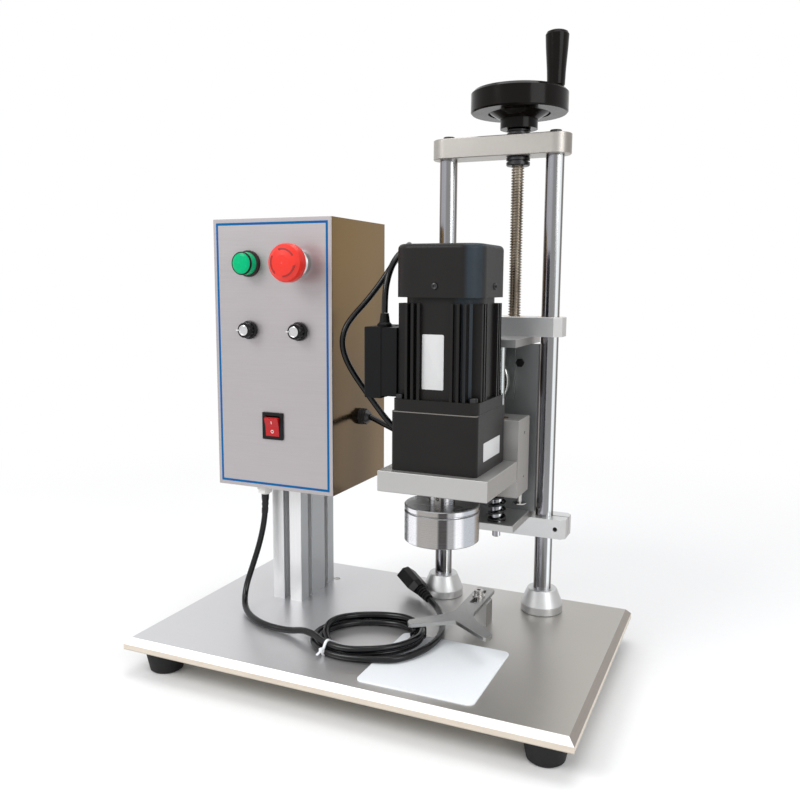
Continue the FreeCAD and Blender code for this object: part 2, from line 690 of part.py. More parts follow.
def handwheel():
    ring_r = WHEEL_R - WHEEL_RING
    web = WHEEL_Z0 + 9
    profile = [(JOURNAL_R, HUB_Z0), (HUB_R, HUB_Z0), (HUB_R, HUB_Z0 + 10.5), (ring_r, WHEEL_Z0 + 2)]
    profile += [(ring_r, WHEEL_Z0), (WHEEL_R - 1.5, WHEEL_Z0), (WHEEL_R, WHEEL_Z0 + 1.5), (WHEEL_R, WHEEL_Z1 - 3)]
    profile += [(WHEEL_R - 3, WHEEL_Z1), (ring_r, WHEEL_Z1), (ring_r - 4, WHEEL_Z1 - 8), (15.0, WHEEL_Z1 - 11)]
    profile += [(0, WHEEL_Z1 - 11)]
    profile += [(0, web), (JOURNAL_R, web)]
    wheel = turned(profile, SCREW_X, ROD_Y)
    x, y = grip_place()
    spindle = upright(4.0, x, y, WHEEL_Z1 - 14, GRIP_Z1 - 5)
    stop = upright(7.0, x, y, WHEEL_Z1 - 1, WHEEL_Z1 + 0.4)
    return joined([wheel, spindle, stop])


def grip_place():
    angle = GRIP_TURN * pi / 180
    return SCREW_X + GRIP_OFF * cos(angle), ROD_Y + GRIP_OFF * sin(angle)


def handle_grip():
    bore = 4.0 + RUN
    profile = [(bore, GRIP_Z0), (GRIP_R_LOW - 1, GRIP_Z0), (GRIP_R_LOW, GRIP_Z0 + 1), (GRIP_R_LOW + 0.6, GRIP_Z0 + 16)]
    profile += [(GRIP_R_TOP - 0.6, GRIP_Z1 - 16), (GRIP_R_TOP, GRIP_Z1 - 4), (GRIP_R_TOP - 1.5, GRIP_Z1 - 1.2)]
    profile += [(GRIP_R_TOP - 4, GRIP_Z1), (0, GRIP_Z1), (0, GRIP_Z1 - 4), (bore, GRIP_Z1 - 4)]
    return turned(profile, *grip_place())



def upper_block():
    body = block(UPPER_X0, UPPER_X1, BLOCK_Y0, BLOCK_Y1, UPPER_Z0, UPPER_Z1)
    body = body.makeChamfer(8.0, upright_edges(body))
    body = body.makeChamfer(0.6, edges_at(body, UPPER_Z1))
    for x in ROD_XS:
        body = body.cut(upright(BUSH_R, x, ROD_Y, UPPER_Z0, UPPER_Z1))
    return body.cut(upright(NUT_BODY_R, SCREW_X, ROD_Y, UPPER_Z0, UPPER_Z1))


def sleeve(outer, inner, x, y, z0, z1):
    return upright(outer, x, y, z0, z1).cut(upright(inner, x, y, z0, z1))


def rod_bushings():
    return group([sleeve(BUSH_R, ROD_R + RUN, x, ROD_Y, UPPER_Z0, UPPER_Z1) for x in ROD_XS])


def screw_nut():
    return sleeve(NUT_BODY_R, SCREW_R + RUN, SCREW_X, ROD_Y, UPPER_Z0, UPPER_Z1)


def shelf_plate():
    z1 = UPPER_Z0
    z0 = z1 - PLATE_T
    plate = block(SHELF_X0, SHELF_X1, SHELF_Y0, BLOCK_Y1, z0, z1)
    notch = upright(ROD_R + 3, ROD_LEFT_X, ROD_Y, z0, z1)
    plate = plate.cut(notch).cut(upright(SCREW_R + 2, SCREW_X, ROD_Y, z0, z1))
    for x in GUIDE_XS:
        plate = plate.cut(upright(GUIDE_R, x, GUIDE_Y, z0, z1))
    return plate


def back_plate():
    z0 = CLAMP_Z1 + PLATE_T
    z1 = UPPER_Z0 - PLATE_T
    plate = block(BACK_X0, BACK_X1, BACK_Y0, BACK_Y0 + PLATE_T, z0, z1)
    for x, z in plate_bolt_places():
        plate = plate.cut(along_y(3.0, x, z, BACK_Y0, BACK_Y0 + PLATE_T - 1))
    return plate.cut(along_y(13.0, CAM_X, CAM_Z, BACK_Y0 - 1, BACK_Y0 + PLATE_T + 1))


def floor_plate():
    z0 = CLAMP_Z1
    z1 = z0 + PLATE_T
    plate = block(FLOOR_X0, FLOOR_X1, FLOOR_Y0, BLOCK_Y1, z0, z1)
    plate = plate.makeChamfer(0.6, edges_at(plate, z1))
    plate = plate.cut(upright(SCREW_R + 2, SCREW_X, ROD_Y, z0, z1))
    for x in GUIDE_XS:
        plate = plate.cut(upright(GUIDE_TAIL_R, x, GUIDE_Y, z0, z1))
    return plate


def clamp_screw_xs():
    return (CLAMP_X0 + 11.0, CLAMP_X1 - 11.0)


def clamp_block():
    body = block(CLAMP_X0, CLAMP_X1, BLOCK_Y0, BLOCK_Y1, CLAMP_Z0, CLAMP_Z1)
    body = body.makeChamfer(5.0, upright_edges(body))
    for x in ROD_XS:
        body = body.cut(upright(ROD_R + RUN, x, ROD_Y, CLAMP_Z0, CLAMP_Z1))
    body = body.cut(upright(SCREW_R + 2, SCREW_X, ROD_Y, CLAMP_Z0, CLAMP_Z1))
    body = body.cut(block(CLAMP_X0, ROD_LEFT_X, ROD_Y - 1, ROD_Y + 1, CLAMP_Z0, CLAMP_Z1))
    body = body.cut(block(ROD_RIGHT_X, CLAMP_X1, ROD_Y - 1, ROD_Y + 1, CLAMP_Z0, CLAMP_Z1))
    middle = (CLAMP_Z0 + CLAMP_Z1) / 2
    for x in clamp_screw_xs():
        body = body.cut(along_y(2.6, x, middle, BLOCK_Y0, BLOCK_Y1 - 4))
    return body


def plate_bolt_places():
    middle = (BACK_X0 + BACK_X1) / 2
    return [(middle + side * 34.5, z) for side in (-1, 1) for z in (CLAMP_Z1 + 40.0, UPPER_Z0 - 29.0)]


def plate_bolt(x, z):
    head = hexagon(5.0, 0, 0, 0, 3.5)
    head.rotate(V(0, 0, 0), V(1, 0, 0), 90)
    head.translate(V(x, BACK_Y0, z))
    return head.fuse(along_y(3.0, x, z, BACK_Y0, BACK_Y0 + PLATE_T - 1)).removeSplitter()


def carriage_screws():
    """Grub screws that close the clamp block and the hexagon bolts of the back plate."""
    middle = (CLAMP_Z0 + CLAMP_Z1) / 2
    screws = [plate_bolt(x, z) for x, z in plate_bolt_places()]
    for x in clamp_screw_xs():
        screw = along_y(2.6, x, middle, BLOCK_Y0 + 2, BLOCK_Y1 - 5)
        screws.append(screw.cut(along_y(1.4, x, middle, BLOCK_Y0 + 2, BLOCK_Y0 + 5)))
    return group(screws)


def guide_shaft(x):
    floor = CLAMP_Z1 + PLATE_T
    shaft = upright(GUIDE_R, x, GUIDE_Y, floor, UPPER_Z0)
    tail = upright(GUIDE_TAIL_R, x, GUIDE_Y, GUIDE_TAIL_Z, floor)
    return joined([shaft, tail.makeChamfer(0.7, edges_at(tail, GUIDE_TAIL_Z))])


def buffer_spring(x):
    wire_r = 1.5
    mean_r = 8.7
    low = CLAMP_Z1 + PLATE_T + wire_r + 0.1
    high = HEAD_Z0 - wire_r - 0.1
    helix = Part.makeHelix((high - low) / 4.0, high - low, mean_r)
    ring = Part.Wire(Part.makeCircle(wire_r, V(mean_r, 0, 0), V(0, 1, 0)))
    coil = Part.Wire(helix.Edges).makePipeShell([ring], True, True)
    coil.translate(V(x, GUIDE_Y, low))
    return coil


def buffer_springs():
    return group([buffer_spring(x) for x in GUIDE_XS])


def lift_motor():
    """Flat geared motor behind the back plate, with its shaft bore off centre."""
    y0 = BACK_Y0 + PLATE_T
    x = CAM_X - 12.5
    gearbox = block(x - 27, x + 27, y0, y0 + 24, CAM_Z - 27, CAM_Z + 27)
    gearbox = gearbox.makeFillet(4.0, [e for e in gearbox.Edges if runs_along(e, 1)])
    can = along_y(25.0, x, CAM_Z, y0 + 24, y0 + 54)
    can = can.fuse(along_y(9.0, x, CAM_Z, y0 + 54, y0 + 57))
    boss = along_y(12.5, CAM_X, CAM_Z, y0 - 5, y0)
    motor = joined([gearbox, can, boss])
    return motor.cut(along_y(4.0 + RUN, CAM_X, CAM_Z, y0 - 6, y0 + 12))


def cam_guard():
    return block(SHELF_X0, SHELF_X1, SHELF_Y0, SHELF_Y0 + GUARD_T, GUARD_Z0, UPPER_Z0 - PLATE_T)



def groove_point(turn, side):
    """Point of the groove wall at a cam angle; side 0 is the middle line, +1 and -1 its walls."""
    radius = CAM_REST_R - CAM_RATE * turn
    slope = -CAM_RATE
    across = side * (ROLLER_R + AIR) / hypot(radius, slope)
    out = V(sin(turn), 0, -cos(turn))
    along = V(cos(turn), 0, sin(turn))
    return out * (radius + across * radius) - along * (across * slope)


def groove_wall(side):
    steps = 36
    span = CAM_TURN_DOWN + CAM_TURN_UP
    points = [groove_point(-CAM_TURN_DOWN + span * k / steps, side) for k in range(steps + 1)]
    curve = Part.BSplineCurve()
    curve.interpolate(points)
    return curve.toShape(), points


def cam_groove(depth):
    outer, outer_points = groove_wall(1)
    inner, inner_points = groove_wall(-1)
    caps = []
    for index, turn, sense in ((0, -CAM_TURN_DOWN, -1), (-1, CAM_TURN_UP, 1)):
        middle = groove_point(turn, 0)
        ahead = groove_point(turn + 0.001, 0).sub(middle).normalize()
        tip = middle + ahead * (sense * (ROLLER_R + AIR))
        caps.append(Part.Arc(outer_points[index], tip, inner_points[index]).toShape())
    wire = Part.Wire(Part.sortEdges([outer, inner] + caps)[0])
    cutter = Part.Face(wire).extrude(V(0, depth, 0))
    cutter.translate(V(CAM_X, CAM_Y0, CAM_Z))
    return cutter


def lift_cam():
    disc = along_y(CAM_R, CAM_X, CAM_Z, CAM_Y0, CAM_Y1)
    rims = [e for e in disc.Edges if e.BoundBox.YLength < 0.001]
    disc = disc.makeChamfer(0.8, rims)
    hub = along_y(11.0, CAM_X, CAM_Z, CAM_Y1, BACK_Y0 + 2.5)
    shaft = along_y(4.0, CAM_X, CAM_Z, BACK_Y0 + 2.5, BACK_Y0 + PLATE_T + 10)
    return joined([disc, hub, shaft]).cut(cam_groove(5.2))



def slide_block():
    body = block(HEAD_X0, HEAD_X1, HEAD_Y0, HEAD_Y1, HEAD_Z0, HEAD_Z1)
    body = body.makeChamfer(0.6, edges_at(body, HEAD_Z1) + edges_at(body, HEAD_Z0))
    for x in GUIDE_XS:
        body = body.cut(upright(BUSHING_R, x, GUIDE_Y, HEAD_Z0, HEAD_Z1))
    y = HEAD_Y0 + 20.5
    for z in (HEAD_Z0 + 19.0, HEAD_Z1 - 16.0):
        body = body.cut(along_x(1.6, y + 4, z, HEAD_X1 - 5, HEAD_X1))
        body = body.cut(along_x(1.6, y + 4, z, HEAD_X0, HEAD_X0 + 5))
    return body.cut(upright(2.5, STOP_X, STOP_Y, HEAD_Z0, HEAD_Z0 + 12))


def slide_bushings():
    sleeves = []
    for x in GUIDE_XS:
        for z0 in (HEAD_Z0 + 1.5, HEAD_Z1 - 31.5):
            sleeves.append(sleeve(BUSHING_R, GUIDE_R + RUN, x, GUIDE_Y, z0, z0 + 30))
    return group(sleeves)


def cam_follower():
    """Plate on the back of the slide block with a roller that runs in the cam groove."""
    z = CAM_Z - CAM_REST_R
    plate = block(CAM_X - 13, CAM_X + 13, HEAD_Y1, HEAD_Y1 + 3.2, z - 45, z + 6.5)
    plate = plate.makeFillet(4.0, [e for e in plate.Edges if runs_along(e, 1)])
    roller = along_y(ROLLER_R, CAM_X, z, HEAD_Y1 + 3.2, CAM_Y0 + 4.6)
    heads = [along_y(3.4, CAM_X + s, z - 32, HEAD_Y1 + 3.2, HEAD_Y1 + 5.0) for s in (-7, 7)]
    return joined([plate, roller] + heads)


def stop_bolt():
    profile = [(0, HEAD_Z0 - 16.0), (5.0, HEAD_Z0 - 15.6), (7.5, HEAD_Z0 - 14.0), (7.5, HEAD_Z0 - 13.0)]
    profile += [(2.5, HEAD_Z0 - 12.0), (2.5, HEAD_Z0 + 11.5), (0, HEAD_Z0 + 11.5)]
    return turned(profile, STOP_X, STOP_Y)


def motor_plate():
    plate = block(HEAD_X0, HEAD_X1 - 0.5, PLATE_Y0, HEAD_Y0, PLATE_Z0, PLATE_Z1)
    plate = plate.makeChamfer(0.6, edges_at(plate, PLATE_Z1) + edges_at(plate, PLATE_Z0))
    return plate.cut(upright(17.0, HEAD_X, SHAFT_Y, PLATE_Z0, PLATE_Z1))


def gearbox():
    body = rounded(HEAD_X, MOTOR_Y, GEAR_W, GEAR_W, 4.0, PLATE_Z1, GEAR_Z1)
    boss = upright(16.8, HEAD_X, SHAFT_Y, PLATE_Z1 - 6, PLATE_Z1)
    body = joined([body, boss])
    return body.cut(upright(SHAFT_R + RUN, HEAD_X, SHAFT_Y, PLATE_Z1 - 6, PLATE_Z1 + 24))


def rib(offset, along_side):
    half = 1.4
    reach = GEAR_W / 2 - 1
    if along_side:
        return block(HEAD_X + offset - half, HEAD_X + offset + half, MOTOR_Y - reach, MOTOR_Y + reach, FLANGE_Z1, BODY_Z1)
    return block(HEAD_X - reach, HEAD_X + reach, MOTOR_Y + offset - half, MOTOR_Y + offset + half, FLANGE_Z1, BODY_Z1)


def screw_corners():
    return [(HEAD_X + a * 38.0, MOTOR_Y + b * 38.0) for a in (-1, 1) for b in (-1, 1)]


def motor_body():
    """Finned stator housing on its square flange, with the neck that carries the fan cover."""
    core = rounded(HEAD_X, MOTOR_Y, 80, 80, 25.0, FLANGE_Z1, BODY_Z1)
    envelope = rounded(HEAD_X, MOTOR_Y, 88, 88, 18.0, FLANGE_Z1, BODY_Z1)
    fins = [rib(s * off, side) for off in (17.0, 23.5, 30.0) for s in (-1, 1) for side in (True, False)]
    body = joined([core] + fins).common(envelope)
    flange = rounded(HEAD_X, MOTOR_Y, 89, 89, 8.0, GEAR_Z1, FLANGE_Z1)
    for x, y in screw_corners():
        body = body.cut(upright(6.6, x, y, FLANGE_Z1, FLANGE_Z1 + 14))
        flange = flange.cut(upright(2.4, x, y, FLANGE_Z1 - 10, FLANGE_Z1))
    neck = rounded(HEAD_X, MOTOR_Y, 80, 80, 28.0, BODY_Z1, COVER_Z0 + 3)
    body = joined([flange, body, neck])
    return body.cut(upright(5.0 + RUN, HEAD_X, MOTOR_Y, BODY_Z1 - 30, COVER_Z0 + 3))


def motor_screws():
    screws = []
    for x, y in screw_corners():
        screws.append(cap_screw(x, y, FLANGE_Z1, False, 2.4, 10.0, 4.4, 4.6))
    return group(screws)


def fan_cover():
    cover = rounded(HEAD_X, MOTOR_Y, COVER_W, COVER_W, 20.0, COVER_Z0, COVER_Z1)
    cover = cover.makeFillet(5.0, edges_at(cover, COVER_Z1))
    inside = rounded(HEAD_X, MOTOR_Y, COVER_W - 4, COVER_W - 4, 18.0, COVER_Z0 + 3, COVER_Z1 - 2.5)
    collar = rounded(HEAD_X, MOTOR_Y, 80, 80, 28.0, COVER_Z0, COVER_Z0 + 3)
    cover = cover.cut(inside).cut(collar)
    for ring, count in ((13, 8), (23, 14), (33, 20)):
        for k in range(count):
            angle = 2 * pi * k / count
            x = HEAD_X + ring * cos(angle)
            y = MOTOR_Y + ring * sin(angle)
            cover = cover.cut(upright(2.6, x, y, COVER_Z1 - 4, COVER_Z1 + 1))
    return cover


def motor_fan():
    """Radial fan on the tail of the rotor shaft."""
    z0 = COVER_Z0 + 10
    shaft = upright(5.0, HEAD_X, MOTOR_Y, BODY_Z1 - 20, z0 + 22)
    disc = upright(32.0, HEAD_X, MOTOR_Y, z0, z0 + 1.6)
    hub = upright(9.0, HEAD_X, MOTOR_Y, z0, z0 + 16)
    blades = []
    for k in range(8):
        blade = block(HEAD_X + 8, HEAD_X + 34, MOTOR_Y - 0.8, MOTOR_Y + 0.8, z0 + 1, z0 + 22)
        blade.rotate(V(HEAD_X, MOTOR_Y, 0), V(0, 0, 1), 45 * k)
        blades.append(blade)
    return joined([shaft, disc, hub] + blades)


def terminal_box():
    """Junction box on the left of the stator, with the strain relief of the cable on top."""
    x1 = HEAD_X - 44
    x0 = x1 - 36
    seam = x0 + 19
    y0 = MOTOR_Y - 35
    y1 = MOTOR_Y + 23
    base = block(seam, x1, y0 + 0.6, y1 - 0.6, FLANGE_Z1 + 0.5, RELIEF_Z - 0.5)
    lid = block(x0, seam, y0, y1, FLANGE_Z1 - 2, RELIEF_Z)
    lid = lid.makeFillet(2.5, [e for e in lid.Edges if e.BoundBox.XMax < x0 + 0.1])
    profile = [(0, RELIEF_Z - 4), (7.5, RELIEF_Z - 4), (7.5, RELIEF_Z + 2), (5.4, RELIEF_Z + 4)]
    profile += [(4.2, RELIEF_Z + 13), (0, RELIEF_Z + 13)]
    relief = turned(profile, CABLE_TOP_X, CABLE_TOP_Y)
    return joined([base, lid, relief])


def output_shaft():
    shaft = upright(SHAFT_R, HEAD_X, SHAFT_Y, DISC_Z0 + 0.5, PLATE_Z1 + 20)
    return shaft.makeChamfer(0.8, edges_at(shaft, DISC_Z0 + 0.5))


def chuck_disc():
    profile = [(SHAFT_R, DISC_Z0), (CHUCK_R - 0.6, DISC_Z0), (CHUCK_R, DISC_Z0 + 0.6), (CHUCK_R, DISC_Z1 - 0.8)]
    profile += [(CHUCK_R - 0.8, DISC_Z1), (13.0, DISC_Z1), (13.0, DISC_Z1 + 12.4), (12.4, DISC_Z1 + 13)]
    profile += [(SHAFT_R, DISC_Z1 + 13)]
    disc = turned(profile, HEAD_X, SHAFT_Y)
    return disc.cut(Part.makeCylinder(2.0, 14, V(HEAD_X, SHAFT_Y, DISC_Z1 + 6.5), V(0, -1, 0)))


def chuck_cup():
    roof = CHUCK_Z0 + CHUCK_DEPTH
    profile = [(0, roof), (MOUTH_R, roof), (MOUTH_R, CHUCK_Z0 + 3), (MOUTH_R + 1.5, CHUCK_Z0)]
    profile += [(CHUCK_R - 0.8, CHUCK_Z0), (CHUCK_R, CHUCK_Z0 + 0.8), (CHUCK_R, CHUCK_SPLIT - 0.8)]
    profile += [(CHUCK_R - 0.8, CHUCK_SPLIT), (CHUCK_R - 1.6, CHUCK_SPLIT), (CHUCK_R - 1.6, DISC_Z0), (0, DISC_Z0)]
    return turned(profile, HEAD_X, SHAFT_Y)


def chuck_insert():
    roof = CHUCK_Z0 + CHUCK_DEPTH
    profile = [(GRIP_BORE_R, roof), (MOUTH_R, roof), (MOUTH_R, CHUCK_Z0 + 3.2)]
    profile += [(GRIP_BORE_R + 3.5, CHUCK_Z0 + 3.2), (GRIP_BORE_R, CHUCK_Z0 + 8.0)]
    return turned(profile, HEAD_X, SHAFT_Y)


def pair(make):
    return group([make(x) for x in ROD_XS])


def main():
    os.makedirs("parts", exist_ok=True)
    makers = {
        "base_plate": base_plate, "rubber_feet": rubber_feet, "frame_screws": frame_screws,
        "top_bar": top_bar, "profile_post": profile_post, "bottle_pad": bottle_pad,
        "box_shell": box_shell, "box_back": box_back, "lamp_bezel": lamp_bezel,
        "lamp_lens": lamp_lens, "estop_collar": estop_collar, "estop_button": estop_button,
        "speed_controls": speed_controls, "switch_frame": switch_frame, "switch_rocker": switch_rocker,
        "cable_glands": cable_glands, "power_cord": power_cord, "cord_coil": cord_coil,
        "cord_plug": cord_plug, "cord_tie": cord_tie, "motor_cable": motor_cable,
        "locator_stand": locator_stand, "locator_screw": locator_screw, "locator_fork": locator_fork,
        "lead_screw": lead_screw, "thrust_nuts": thrust_nuts, "handwheel": handwheel,
        "handle_grip": handle_grip, "upper_block": upper_block, "rod_bushings": rod_bushings,
        "screw_nut": screw_nut, "shelf_plate": shelf_plate, "back_plate": back_plate,
        "floor_plate": floor_plate, "clamp_block": clamp_block, "carriage_screws": carriage_screws,
        "buffer_springs": buffer_springs, "lift_motor": lift_motor, "cam_guard": cam_guard,
        "lift_cam": lift_cam, "slide_block": slide_block, "slide_bushings": slide_bushings,
        "cam_follower": cam_follower, "stop_bolt": stop_bolt, "motor_plate": motor_plate,
        "gearbox": gearbox, "motor_body": motor_body, "motor_screws": motor_screws,
        "fan_cover": fan_cover, "motor_fan": motor_fan, "terminal_box": terminal_box,
        "output_shaft": output_shaft, "chuck_disc": chuck_disc, "chuck_cup": chuck_cup,
        "chuck_insert": chuck_insert,
    }
    for name, maker in makers.items():
        save(name, maker())
    save("guide_rods", pair(guide_rod))
    save("rod_sockets", pair(rod_socket))
    save("knob_left", knob(LEFT_COL))
    save("knob_right", knob(RIGHT_COL))
    save("guide_shafts", group([guide_shaft(x) for x in GUIDE_XS]))
    print("pieces", len(os.listdir("parts")))


main()
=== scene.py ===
import bmesh
import bpy
from math import cos, pi, radians, sin
from mathutils import Matrix, Vector


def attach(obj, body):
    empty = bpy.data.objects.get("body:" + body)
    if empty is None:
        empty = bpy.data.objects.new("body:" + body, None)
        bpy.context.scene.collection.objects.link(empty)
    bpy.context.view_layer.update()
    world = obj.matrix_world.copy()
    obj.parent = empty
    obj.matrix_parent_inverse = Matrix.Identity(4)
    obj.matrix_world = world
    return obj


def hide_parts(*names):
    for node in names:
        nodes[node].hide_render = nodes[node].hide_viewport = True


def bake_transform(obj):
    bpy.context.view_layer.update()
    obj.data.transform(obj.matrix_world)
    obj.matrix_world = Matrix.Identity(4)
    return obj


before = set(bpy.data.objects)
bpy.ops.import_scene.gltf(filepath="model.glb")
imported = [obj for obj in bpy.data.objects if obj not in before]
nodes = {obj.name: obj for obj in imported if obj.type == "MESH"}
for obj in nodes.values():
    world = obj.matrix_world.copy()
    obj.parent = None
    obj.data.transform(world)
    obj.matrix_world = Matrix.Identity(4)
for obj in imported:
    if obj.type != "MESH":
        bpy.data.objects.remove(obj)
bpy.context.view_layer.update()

deck = {"halfWidth": 0.235, "halfDepth": 0.150, "top": 0.040}


def onDeck(x, y, z):  # metres from the left front corner of the deck top to the row frame
    return Vector((x - deck["halfWidth"], y - deck["halfDepth"], z + deck["top"]))


def part(value, low, high):  # how far value has come from low to high, as 0 to 1
    return min(max((value - low) / (high - low), 0), 1)


def smooth(value, low, high):
    t = part(value, low, high)
    return t * t * (3 - 2 * t)


# camera
view = {"place": (0.3655, -0.8003, 0.4163), "heading": 23.88, "down": 8.04, "tilt": 0.32, "lens": 37.08,
        "sensor": 36}

camera = bpy.data.objects.new("camera", bpy.data.cameras.new("camera"))
bpy.context.scene.collection.objects.link(camera)
camera.data.lens = view["lens"]
camera.data.sensor_width = view["sensor"]
camera.matrix_world = (Matrix.Translation(view["place"])
                       @ Matrix.Rotation(radians(view["heading"]), 4, "Z")
                       @ Matrix.Rotation(radians(90 - view["down"]), 4, "X")
                       @ Matrix.Rotation(radians(view["tilt"]), 4, "Z"))
bpy.context.scene.camera = camera
print("camera set")


# finishes
class Field:  # a node's output, whose sums and products add Math nodes
    def __init__(self, graph, socket):
        self.graph = graph
        self.socket = socket

    def out(self, name):
        return Field(self.graph, self.socket.node.outputs[name])

    def maths(self, operation, first, second=0.0):
        return self.graph.node("ShaderNodeMath", {"operation": operation}, {0: first, 1: second})

    def __add__(self, other):
        return self.maths("ADD", self, other)

    def __radd__(self, other):
        return self.maths("ADD", other, self)

    def __sub__(self, other):
        return self.maths("SUBTRACT", self, other)

    def __rsub__(self, other):
        return self.maths("SUBTRACT", other, self)

    def __mul__(self, other):
        return self.maths("MULTIPLY", self, other)

    def __rmul__(self, other):
        return self.maths("MULTIPLY", other, self)

    def __gt__(self, other):
        return self.maths("GREATER_THAN", self, other)

    def __lt__(self, other):
        return self.maths("LESS_THAN", self, other)

    def __abs__(self):
        return self.maths("ABSOLUTE", self)

    def larger(self, other):
        return self.maths("MAXIMUM", self, other)


class Graph:  # any node tree, cleared and ready to be filled
    def __init__(self, owner):
        owner.use_nodes = True
        self.tree = owner.node_tree
        self.tree.nodes.clear()

    def node(self, kind, settings=None, inputs=None, output=0):
        made = self.tree.nodes.new(kind)
        for key, value in (settings or {}).items():
            if key == "stops":
                ramp = made.color_ramp.elements
                while len(ramp) < len(value):
                    ramp.new(0.5)
                for element, (place, colour) in zip(ramp, value):
                    element.position = place
                    element.color = (*colour, 1)
            else:
                setattr(made, key, value)
        for key, value in (inputs or {}).items():
            if isinstance(value, Field):
                self.tree.links.new(value.socket, made.inputs[key])
            else:
                made.inputs[key].default_value = value
        return Field(self, made.outputs[output] if made.outputs else None)

    def seenStraight(self):  # 1 for what the camera sees, also in metal and through clear sheets
        rays = self.node("ShaderNodeLightPath")
        seen = rays.out("Is Camera Ray").larger(rays.out("Is Glossy Ray"))
        return seen.larger(rays.out("Is Transmission Ray"))


class Finish(Graph):
    def __init__(self, name, constants=None):
        self.material = bpy.data.materials.new(name)
        super().__init__(self.material)
        self.shader = self.tree.nodes.new("ShaderNodeBsdfPrincipled")
        self.end = self.tree.nodes.new("ShaderNodeOutputMaterial")
        self.tree.links.new(self.shader.outputs[0], self.end.inputs["Surface"])
        for key, value in (constants or {}).items():
            self.set(key, value)

    def set(self, key, value):
        socket = self.shader.inputs[key]
        if isinstance(value, Field):
            self.tree.links.new(value.socket, socket)
        else:
            socket.default_value = (*value, 1) if isinstance(value, tuple) else value

    def place(self):
        return self.node("ShaderNodeTexCoord", output="Object")

    def split(self, vector):
        parts = self.node("ShaderNodeSeparateXYZ", None, {0: vector})
        return parts.out("X"), parts.out("Y"), parts.out("Z")

    def axes(self):
        return self.split(self.place())

    def facing(self):  # which way the surface looks, in the row frame
        return self.split(self.node("ShaderNodeNewGeometry", output="Normal"))

    def noise(self, scale, detail, stretch=(1, 1, 1)):
        spread = self.node("ShaderNodeMapping", None, {"Vector": self.place(), "Scale": stretch})
        return self.node("ShaderNodeTexNoise", None,
                         {"Vector": spread, "Scale": scale, "Detail": detail, "Roughness": 0.55})

    def between(self, value, low, high, newLow=0.0, newHigh=1.0):
        return self.node("ShaderNodeMapRange", {"interpolation_type": "SMOOTHSTEP"},
                         {0: value, 1: low, 2: high, 3: newLow, 4: newHigh})

    def blend(self, mask, first, second):
        first = first if isinstance(first, Field) else (*first, 1)
        second = second if isinstance(second, Field) else (*second, 1)
        return self.node("ShaderNodeMix", {"data_type": "RGBA"}, {0: mask, 6: first, 7: second}, output=2)

    def bump(self, height, strength, distance):
        self.set("Normal", self.node("ShaderNodeBump", None,
                                     {"Height": height, "Strength": strength, "Distance": distance}))


def shade(colour, factor):
    return tuple(min(c * factor, 1.0) for c in colour)


def satinMetal(name, colour, roughness, grain=(1, 1, 1), grainScale=900, contrast=0.10, metallic=1.0,
               depth=0.00004, shaded=0.6):  # shaded: how far painted shade darkens the right-hand sides
    made = Finish(name, {"Metallic": metallic})
    streaks = made.noise(grainScale, 3.0, grain)
    clouds = made.noise(14, 2.0)
    tone = made.blend(streaks, shade(colour, 1 - contrast), shade(colour, 1 + contrast))
    tone = made.blend(clouds * 0.35, tone, shade(colour, 0.86))
    # painted shade: sides that look right are darkened towards a warm brown
    right = made.between(made.facing()[0], 0.5, 0.95, 0.0, shaded)
    warmPaintedTone = (colour[0] * 0.40, colour[1] * 0.355, colour[2] * 0.32)
    made.set("Base Color", made.blend(right, tone, warmPaintedTone))
    made.set("Roughness", made.between(streaks, 0.25, 0.8, roughness - 0.05, roughness + 0.07))
    made.bump(streaks, 0.35, depth)
    return made


def turnedMetal(name, colour, roughness):
    made = Finish(name, {"Metallic": 1.0})
    rings = made.noise(2600, 2.0, (0.02, 0.02, 1.0))
    stain = made.noise(60, 3.0)
    made.set("Base Color", made.blend(rings, shade(colour, 0.97), shade(colour, 1.03)))
    wearAndHighlight = rings * 0.6 + stain * 0.4
    made.set("Roughness", made.between(wearAndHighlight, 0.3, 0.7, roughness - 0.05, roughness + 0.10))
    made.bump(rings, 0.05, 0.00001)
    return made


toRight = {"x": 0.457, "y": 0.2025}  # half a step towards the right-hand side of the photo


def acrossSide(made):  # 0 where a side looks left, 0.3 at the front, 1 where it looks right
    nx, ny = made.facing()[:2]
    return nx * toRight["x"] + ny * toRight["y"] + 0.5


def bandsAcross(made, bands):  # (from, to, colour): painted reflection in upright bands, as a polished round mirrors a room
    stops = [(place, colour) for low, high, colour in bands for place in sorted({low, high})]
    return made.node("ShaderNodeValToRGB", {"stops": stops}, {"Fac": acrossSide(made)})


def chuckFinish():
    pale, mid, warmPaintedTone, dark = (0.84, 0.84, 0.87), (0.33, 0.33, 0.34), (0.31, 0.295, 0.28), (0.045, 0.04, 0.04)
    cool, brown, flat = (0.47, 0.49, 0.53), (0.24, 0.195, 0.155), (0.36, 0.365, 0.375)
    # painted reflection: bands across the sides stand for a mirrored room, level faces get one plain grey
    bands = [(0.0, 0.04, mid), (0.06, 0.14, pale), (0.17, 0.41, warmPaintedTone), (0.44, 0.53, dark), (0.56, 0.62, mid),
             (0.66, 0.72, pale), (0.77, 0.90, cool), (0.94, 1.0, brown)]
    made = Finish("turnedCup", {"Metallic": 1.0})
    rings = made.noise(1300, 2.0, (0.02, 0.02, 1.0))
    side = made.blend(rings * 0.12, bandsAcross(made, bands), (0.5, 0.5, 0.5))
    level = made.between(abs(made.facing()[2]), 0.3, 0.8)
    made.set("Base Color", made.blend(level, side, flat))
    made.set("Roughness", made.between(rings, 0.3, 0.7, 0.20, 0.32))
    made.bump(rings, 0.05, 0.00001)
    return made


